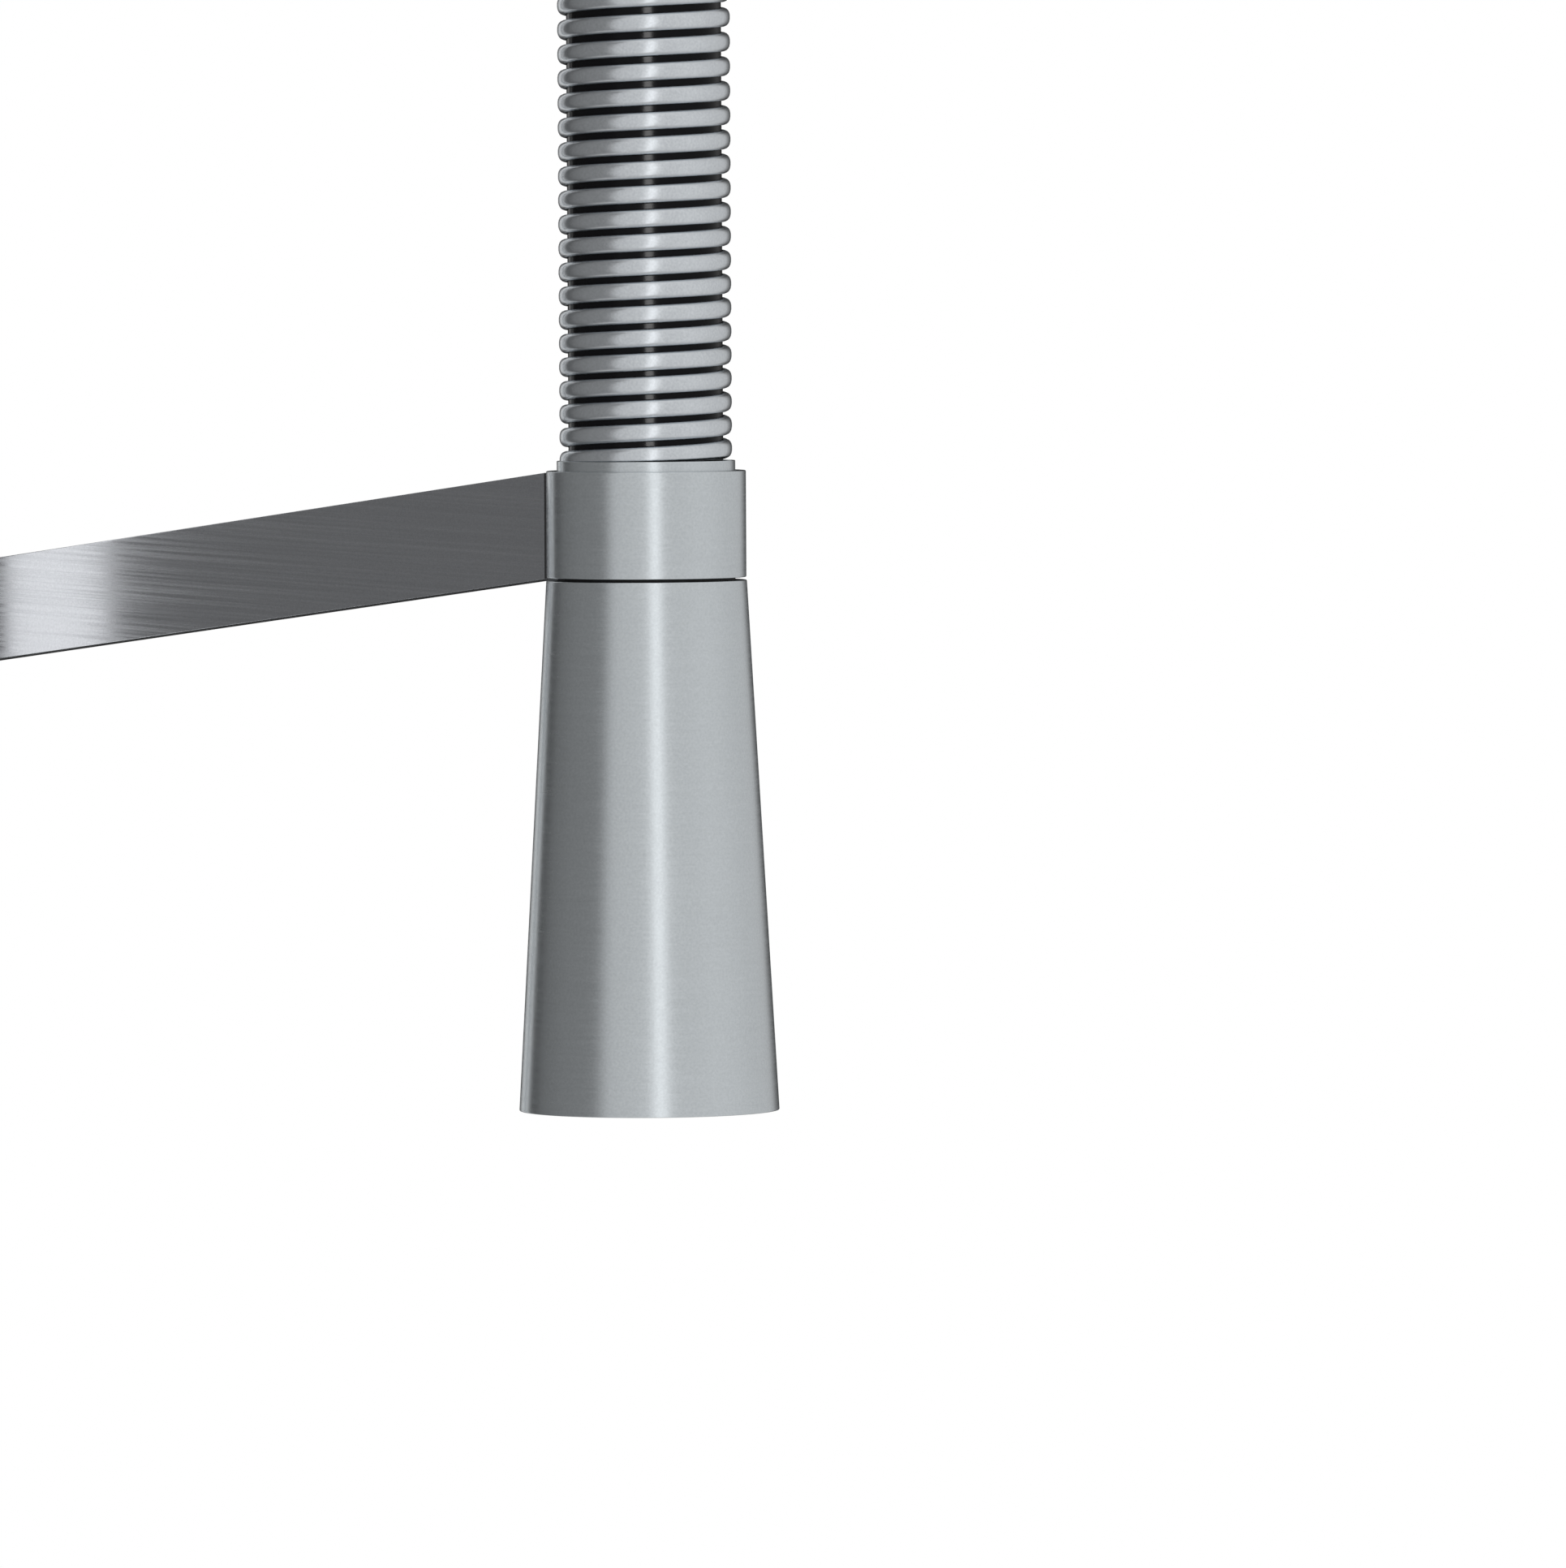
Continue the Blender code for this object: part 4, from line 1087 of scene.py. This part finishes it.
def make_handle():
    """The hub that rocks over the bonnet, the lever screwed into it and the plug over its screw."""
    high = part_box("handle_hub")[1].y
    low = PIN + CUP_LOW
    lever_y = middle("handle_lever").y
    inside = arc(CUP_R, math.degrees(math.acos(CUP_LOW / CUP_R)), 0, 20, PIN)
    outline = [
        (0, high), (BOSS_R, high, 1.5 * MM), (BOSS_R, low, 0.35 * MM), *inside[:-1], (0, PIN + CUP_R)
    ]
    hub = turned("lever_hub", outline)
    stem_r, stem_top, stem_low = 4.67 * MM, 62.4 * MM, 50 * MM
    outline = [(0, stem_top), (stem_r, stem_top, 0), (stem_r, stem_low, 0), (0, stem_low)]
    stem = turned("stem_hole", outline, 4)
    stem.data.transform(Matrix.Rotation(math.pi / 4, 4, "Z"))
    across = Matrix.Translation((0, 0, lever_y))
    plug_hole = rod("plug_hole", 2.6 * MM, 2 * MM, 25 * MM, across @ TO_Y)
    lever_hole = rod("lever_hole", 3.2 * MM, 9 * MM, 25 * MM, across @ TO_X)
    hub = combined(hub, [stem, plug_hole, lever_hole], "DIFFERENCE")
    settle(hub, "lever", "brushed_steel", VALVE_AXIS, ["handle_hub"])

    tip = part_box("handle_lever")[1].x
    shoulder = BOSS_R + 0.3 * MM
    root_r, root = 3 * MM, 9.5 * MM
    outline = [
        (0, tip), (2.4 * MM, tip, 0.5 * MM), (3.6 * MM, tip - 1.2 * MM, 0.6 * MM),
        (4.4 * MM, shoulder + 0.6 * MM, 0.3 * MM), (4 * MM, shoulder, 0.2 * MM),
        (root_r, shoulder), (root_r, root), (0, root),
    ]
    lever = turned("lever_bar", outline, PLAIN)
    place = Matrix.Translation((0, lever_y, VALVE_Z))
    settle(lever, "lever", "brushed_steel", place @ TO_X, ["handle_lever"])

    low, high = (corner.z - VALVE_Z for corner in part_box("handle_plug"))
    plug_r = 2.5 * MM
    outline = [(0, high), (plug_r, high), (plug_r, low, 0.35 * MM), (0, low)]
    plug = turned("lever_hub_plug", outline, PLAIN)
    settle(plug, "lever", "grey_silicone", place, ["handle_plug"])


# Stage ---------------------------------------------------------------------------------------------

# Brightness of the studio's upright panels, by degrees to the right of the camera
PANELS = (
    (-180, 0.03), (-163, 0.08), (-155, 0.80), (-147, 1.05), (-140.5, 1.05), (-134.5, 0.11),
    (-124, 0.11), (-112, 0.21), (-85, 0.265), (-60, 0.28), (-50, 0.28), (-38, 0.70), (-20, 0.73),
    (1, 0.765), (4.5, 1.1), (6.5, 1.5), (13, 1.5), (15.5, 1.1), (19.5, 0.75), (45, 0.775),
    (62, 0.815), (82, 0.79), (106, 0.72), (129, 0.68), (141, 0.61), (150, 0.26), (162, 0.07),
    (180, 0.03),
)
BRIGHTEST = 1.5
CEILING_LIGHT = 0.9
GROUND_LIGHT = 0.6
UP = Vector((0, 0, 1))


def make_world(context):
    """Upright soft panels all round for the metal to mirror, and plain white for the camera."""
    world = bpy.data.worlds.new("studio")
    world.use_nodes = True
    context.scene.world = world
    tree = world.node_tree
    tree.nodes.clear()
    look = add(tree, "TexCoord").outputs["Generated"]
    turned_look = add(
        tree, "VectorRotate", {"Vector": look, "Angle": math.radians(90 - CAMERA_TURN)},
        rotation_type="Z_AXIS",
    ).outputs[0]
    split = add(tree, "SeparateXYZ", {0: turned_look}).outputs
    round_by = maths(tree, "ARCTAN2", split["Y"], split["X"])
    place = maths(tree, "MULTIPLY_ADD", round_by, 1 / (2 * math.pi), 0.5)
    ramp = add(tree, "ValToRGB", {0: place})
    stops = ramp.color_ramp.elements
    while len(stops) > 1:
        stops.remove(stops[-1])
    for i, (angle, value) in enumerate(PANELS):
        at = angle / 360 + 0.5
        stop = stops[0] if i == 0 else stops.new(at)
        stop.position = at
        stop.color = (value / BRIGHTEST, value / BRIGHTEST, value / BRIGHTEST, 1)
    panels = maths(tree, "MULTIPLY", ramp.outputs["Color"], BRIGHTEST)
    ceiling = add(tree, "MapRange", {0: split["Z"], 1: 0.86, 2: 0.98, 3: 0.0, 4: 1.0}).outputs[0]
    ground = add(tree, "MapRange", {0: split["Z"], 1: -0.7, 2: -0.9, 3: 0.0, 4: 1.0}).outputs[0]
    light = add(tree, "Mix", {0: ceiling, 2: panels, 3: CEILING_LIGHT}).outputs[0]
    light = add(tree, "Mix", {0: ground, 2: light, 3: GROUND_LIGHT}).outputs[0]
    studio = add(tree, "Background", {"Strength": light})
    plain = add(tree, "Background", {"Strength": 1.0})
    for shade in (studio, plain):
        shade.inputs["Color"].default_value = (1, 1, 1, 1)
    seen = add(tree, "LightPath").outputs["Is Camera Ray"]
    mixed = add(tree, "MixShader", {0: seen, 1: studio.outputs[0], 2: plain.outputs[0]})
    out = add(tree, "OutputWorld")
    tree.links.new(mixed.outputs[0], out.inputs["Surface"])


def make_floor(hues):
    """A pale round floor that fades into the white backdrop at its rim."""
    low = CAD_BOX[0].z
    radius = 1.55
    rings = (radius * 0.3, radius * 0.65, radius)
    verts, faces = [(0, 0, low)], []
    sides = FINE
    for r in rings:
        for i in range(sides):
            a = 2 * math.pi * i / sides
            verts.append((r * math.cos(a), r * math.sin(a), low))
    for i in range(sides):
        j = (i + 1) % sides
        faces.append((0, 1 + i, 1 + j))
        for k in range(len(rings) - 1):
            first = 1 + k * sides
            faces.append((first + i, first + sides + i, first + sides + j, first + j))
    floor = mesh_object("studio_floor", verts, faces)
    made, tree, shader, place = new_material("floor_paper", hues.floor)
    tone = placed(tree, clouding_group(), {"Coordinates": place, "Clouds per Metre": 3.0})
    tint(tree, shader, tuple(hues.floor), about_one(tree, (tone["Cloud"], 0.03)))
    shader.inputs["Roughness"].default_value = 0.9
    shader.inputs["Specular IOR Level"].default_value = 0.1
    shader.inputs["Emission Color"].default_value = (1, 1, 1, 1)
    shader.inputs["Emission Strength"].default_value = 0.12
    far = add(tree, "VectorMath", {0: place}, operation="LENGTH").outputs["Value"]
    fade = add(tree, "MapRange", {0: far, 1: radius * 0.45, 2: radius * 0.98, 3: 1.0, 4: 0.0})
    fade.interpolation_type = "SMOOTHSTEP"
    tree.links.new(fade.outputs[0], shader.inputs["Alpha"])
    floor.data.materials.append(made)
    floor.visible_glossy = False


def make_lights(arm, hose):
    """A large soft light overhead, and upright strips that only the arm and the hose catch."""
    key = bpy.data.lights.new("overhead_softbox", "AREA")
    key.shape = "DISK"
    key.size = 1.6
    key.energy = 28
    lamp = bpy.data.objects.new("overhead_softbox", key)
    lamp.location = (0.5, -0.7, 2.0)
    aim = Vector((0.1, 0, 0.2)) - lamp.location
    lamp.rotation_euler = aim.to_track_quat("-Z", "Y").to_euler()
    lamp.visible_glossy = False
    bpy.context.scene.collection.objects.link(lamp)

    away = Vector((-0.779, -0.627, 0.0))  # from the arm, where a mirror on it would send the view
    on_arm = Vector((0.0626, -0.002, 0.28))
    near = 30 * MM
    strip_light("arm_strip", on_arm + away * near, -away, (0.0175, 0.3), 0.0222, arm)
    turn = math.radians(CAMERA_TURN + 6)
    towards = Vector((math.sin(turn), -math.cos(turn), 0))
    by_hose = HEAD_AXIS.to_translation() + UP * 0.4
    far = 2
    strip_light("hose_strip", by_hose + towards * far, -towards, (0.4, 1.6), 50, hose)


def strip_light(name, place, aim, size, energy, receiver):
    """An upright strip that lights only one piece and isn't seen itself."""
    strip = bpy.data.lights.new(name, "AREA")
    strip.shape = "RECTANGLE"
    strip.size, strip.size_y = size
    strip.energy = energy
    lamp = bpy.data.objects.new(name, strip)
    lamp.location = place
    lamp.rotation_euler = aim.to_track_quat("-Z", "Y").to_euler()
    lamp.visible_camera = False
    bpy.context.scene.collection.objects.link(lamp)
    lit = bpy.data.collections.new("lit_by_" + name)
    lit.objects.link(receiver)
    lamp.light_linking.receiver_collection = lit


def make_camera(context):
    """A long lens at the height of the arch, looking down a little at the docking collar."""
    distance = 2.33939
    height = 0.34602
    yaw = math.radians(0.53113)
    pitch = math.radians(2.29673)
    roll = math.radians(-0.29569)
    turn = math.radians(CAMERA_TURN)
    reach = context.scene.faucet_sizes.reach
    back = Vector((math.sin(turn), -math.cos(turn), 0))
    ahead = -back * math.cos(yaw) + (-back).cross(UP) * math.sin(yaw)
    right = ahead.cross(UP)
    look = ahead * math.cos(pitch) - UP * math.sin(pitch)
    above = right.cross(look)
    side = right * math.cos(roll) + above * math.sin(roll)
    top = above * math.cos(roll) - right * math.sin(roll)
    lens = bpy.data.cameras.new("camera")
    lens.lens = 335.4
    lens.sensor_width = 36
    lens.clip_start = 0.1
    lens.clip_end = 20
    camera = bpy.data.objects.new("camera", lens)
    place = Vector((reach, 0, 0)) + back * distance + UP * height
    camera.matrix_world = Matrix(
        [(side[i], top[i], -look[i], place[i]) for i in range(3)] + [(0, 0, 0, 1)]
    )
    context.scene.collection.objects.link(camera)
    context.scene.camera = camera
    context.scene.view_settings.view_transform = "Standard"


# Operators -----------------------------------------------------------------------------------------


class FAUCET_OT_camera(bpy.types.Operator):
    """Place the camera"""

    bl_idname = "faucet.camera"
    bl_label = "Camera"

    def execute(self, context):
        make_camera(context)
        return {"FINISHED"}


class FAUCET_OT_spray_head(bpy.types.Operator):
    """Build the conical shell, the spray plate and its nozzles"""

    bl_idname = "faucet.spray_head"
    bl_label = "Spray Head"

    def execute(self, context):
        make_head_shell(context.scene.faucet_sizes)
        make_spray_face(context.scene.faucet_sizes)
        return {"FINISHED"}


class FAUCET_OT_docking(bpy.types.Operator):
    """Build the docking collar and the sleeve that drops into it"""

    bl_idname = "faucet.docking"
    bl_label = "Docking Collar and Sleeve"

    def execute(self, context):
        make_collar()
        make_sleeve()
        return {"FINISHED"}


class FAUCET_OT_arm(bpy.types.Operator):
    """Build the docking arm with its lug and its black strip of painted shadow, its hub and its screw
    """

    bl_idname = "faucet.arm"
    bl_label = "Docking Arm"

    def execute(self, context):
        make_arm(context.scene.faucet_sizes)
        make_arm_hub()
        return {"FINISHED"}


class FAUCET_OT_spring(bpy.types.Operator):
    """Wind the coil spring over the arch"""

    bl_idname = "faucet.spring"
    bl_label = "Coil Spring"

    def execute(self, context):
        make_spring(context.scene.faucet_sizes)
        return {"FINISHED"}


class FAUCET_OT_hose(bpy.types.Operator):
    """Run the hose inside the spring, with a ferrule on each end"""

    bl_idname = "faucet.hose"
    bl_label = "Hose"

    def execute(self, context):
        make_hose(context.scene.faucet_sizes)
        make_ferrules(context.scene.faucet_sizes)
        return {"FINISHED"}


class FAUCET_OT_riser(bpy.types.Operator):
    """Build the riser pipe, the spring seat and the swivel cover"""

    bl_idname = "faucet.riser"
    bl_label = "Riser"

    def execute(self, context):
        make_riser()
        make_spring_seat()
        make_swivel_collar()
        return {"FINISHED"}


class FAUCET_OT_valve(bpy.types.Operator):
    """Build the valve barrel, its bonnet and the ring it stands on"""

    bl_idname = "faucet.valve"
    bl_label = "Valve Body and Foot"

    def execute(self, context):
        make_valve_body()
        make_bonnet()
        make_foot()
        return {"FINISHED"}


class FAUCET_OT_lever(bpy.types.Operator):
    """Build the lever, its hub and its plug"""

    bl_idname = "faucet.lever"
    bl_label = "Lever"

    def execute(self, context):
        make_handle()
        return {"FINISHED"}


class FAUCET_OT_shank(bpy.types.Operator):
    """Build the threaded shank, its nut and its washers"""

    bl_idname = "faucet.shank"
    bl_label = "Shank and Nut"

    def execute(self, context):
        make_shank(context.scene.faucet_sizes)
        return {"FINISHED"}


class FAUCET_OT_inner_finishes(bpy.types.Operator):
    """Give the inner pieces that keep their CAD shape their materials"""

    bl_idname = "faucet.inner_finishes"
    bl_label = "Inner Finishes"

    def execute(self, context):
        slots = {row["node"]: row["material_slot"] for row in frame["record"]["subparts"]}
        for name, node in frame["nodes"].items():
            if node.hide_render:
                continue
            node.data.materials.clear()
            node.data.materials.append(finish_of(slots[name]))
        return {"FINISHED"}


class FAUCET_OT_stage(bpy.types.Operator):
    """Set up the floor, the studio panels and the lights"""

    bl_idname = "faucet.stage"
    bl_label = "Stage"

    def execute(self, context):
        arm = bpy.data.objects.get("docking_arm")
        hose = bpy.data.objects.get("spray_hose_tube")
        if arm is None or hose is None:
            raise RuntimeError("build the docking arm and the hose before the stage")
        make_world(context)
        make_floor(context.scene.faucet_colours)
        make_lights(arm, hose)
        return {"FINISHED"}


OPERATORS = (
    FAUCET_OT_camera,
    FAUCET_OT_spray_head,
    FAUCET_OT_docking,
    FAUCET_OT_arm,
    FAUCET_OT_spring,
    FAUCET_OT_hose,
    FAUCET_OT_riser,
    FAUCET_OT_valve,
    FAUCET_OT_lever,
    FAUCET_OT_shank,
    FAUCET_OT_inner_finishes,
    FAUCET_OT_stage,
)


class FAUCET_PT_panel(bpy.types.Panel):
    """Lists the faucet's sizes, colours and building steps"""

    bl_idname = "FAUCET_PT_panel"
    bl_label = "Kitchen Faucet"
    bl_space_type = "VIEW_3D"
    bl_region_type = "UI"
    bl_category = "Faucet"

    def draw(self, context):
        layout = self.layout
        for group in (context.scene.faucet_sizes, context.scene.faucet_colours):
            box = layout.box()
            for name in group.__annotations__:
                box.prop(group, name)
        for operator in OPERATORS:
            layout.operator(operator.bl_idname)


CLASSES = (FaucetSizes, FaucetColours, *OPERATORS, FAUCET_PT_panel)


def register():
    for item in CLASSES:
        bpy.utils.register_class(item)
    bpy.types.Scene.faucet_sizes = bpy.props.PointerProperty(type=FaucetSizes)
    bpy.types.Scene.faucet_colours = bpy.props.PointerProperty(type=FaucetColours)


def unregister():
    del bpy.types.Scene.faucet_sizes
    del bpy.types.Scene.faucet_colours
    for item in reversed(CLASSES):
        bpy.utils.unregister_class(item)


def main():
    register()
    for operator in OPERATORS:
        group, name = operator.bl_idname.split(".")
        getattr(getattr(bpy.ops, group), name)()


if __name__ == "__main__":
    main()
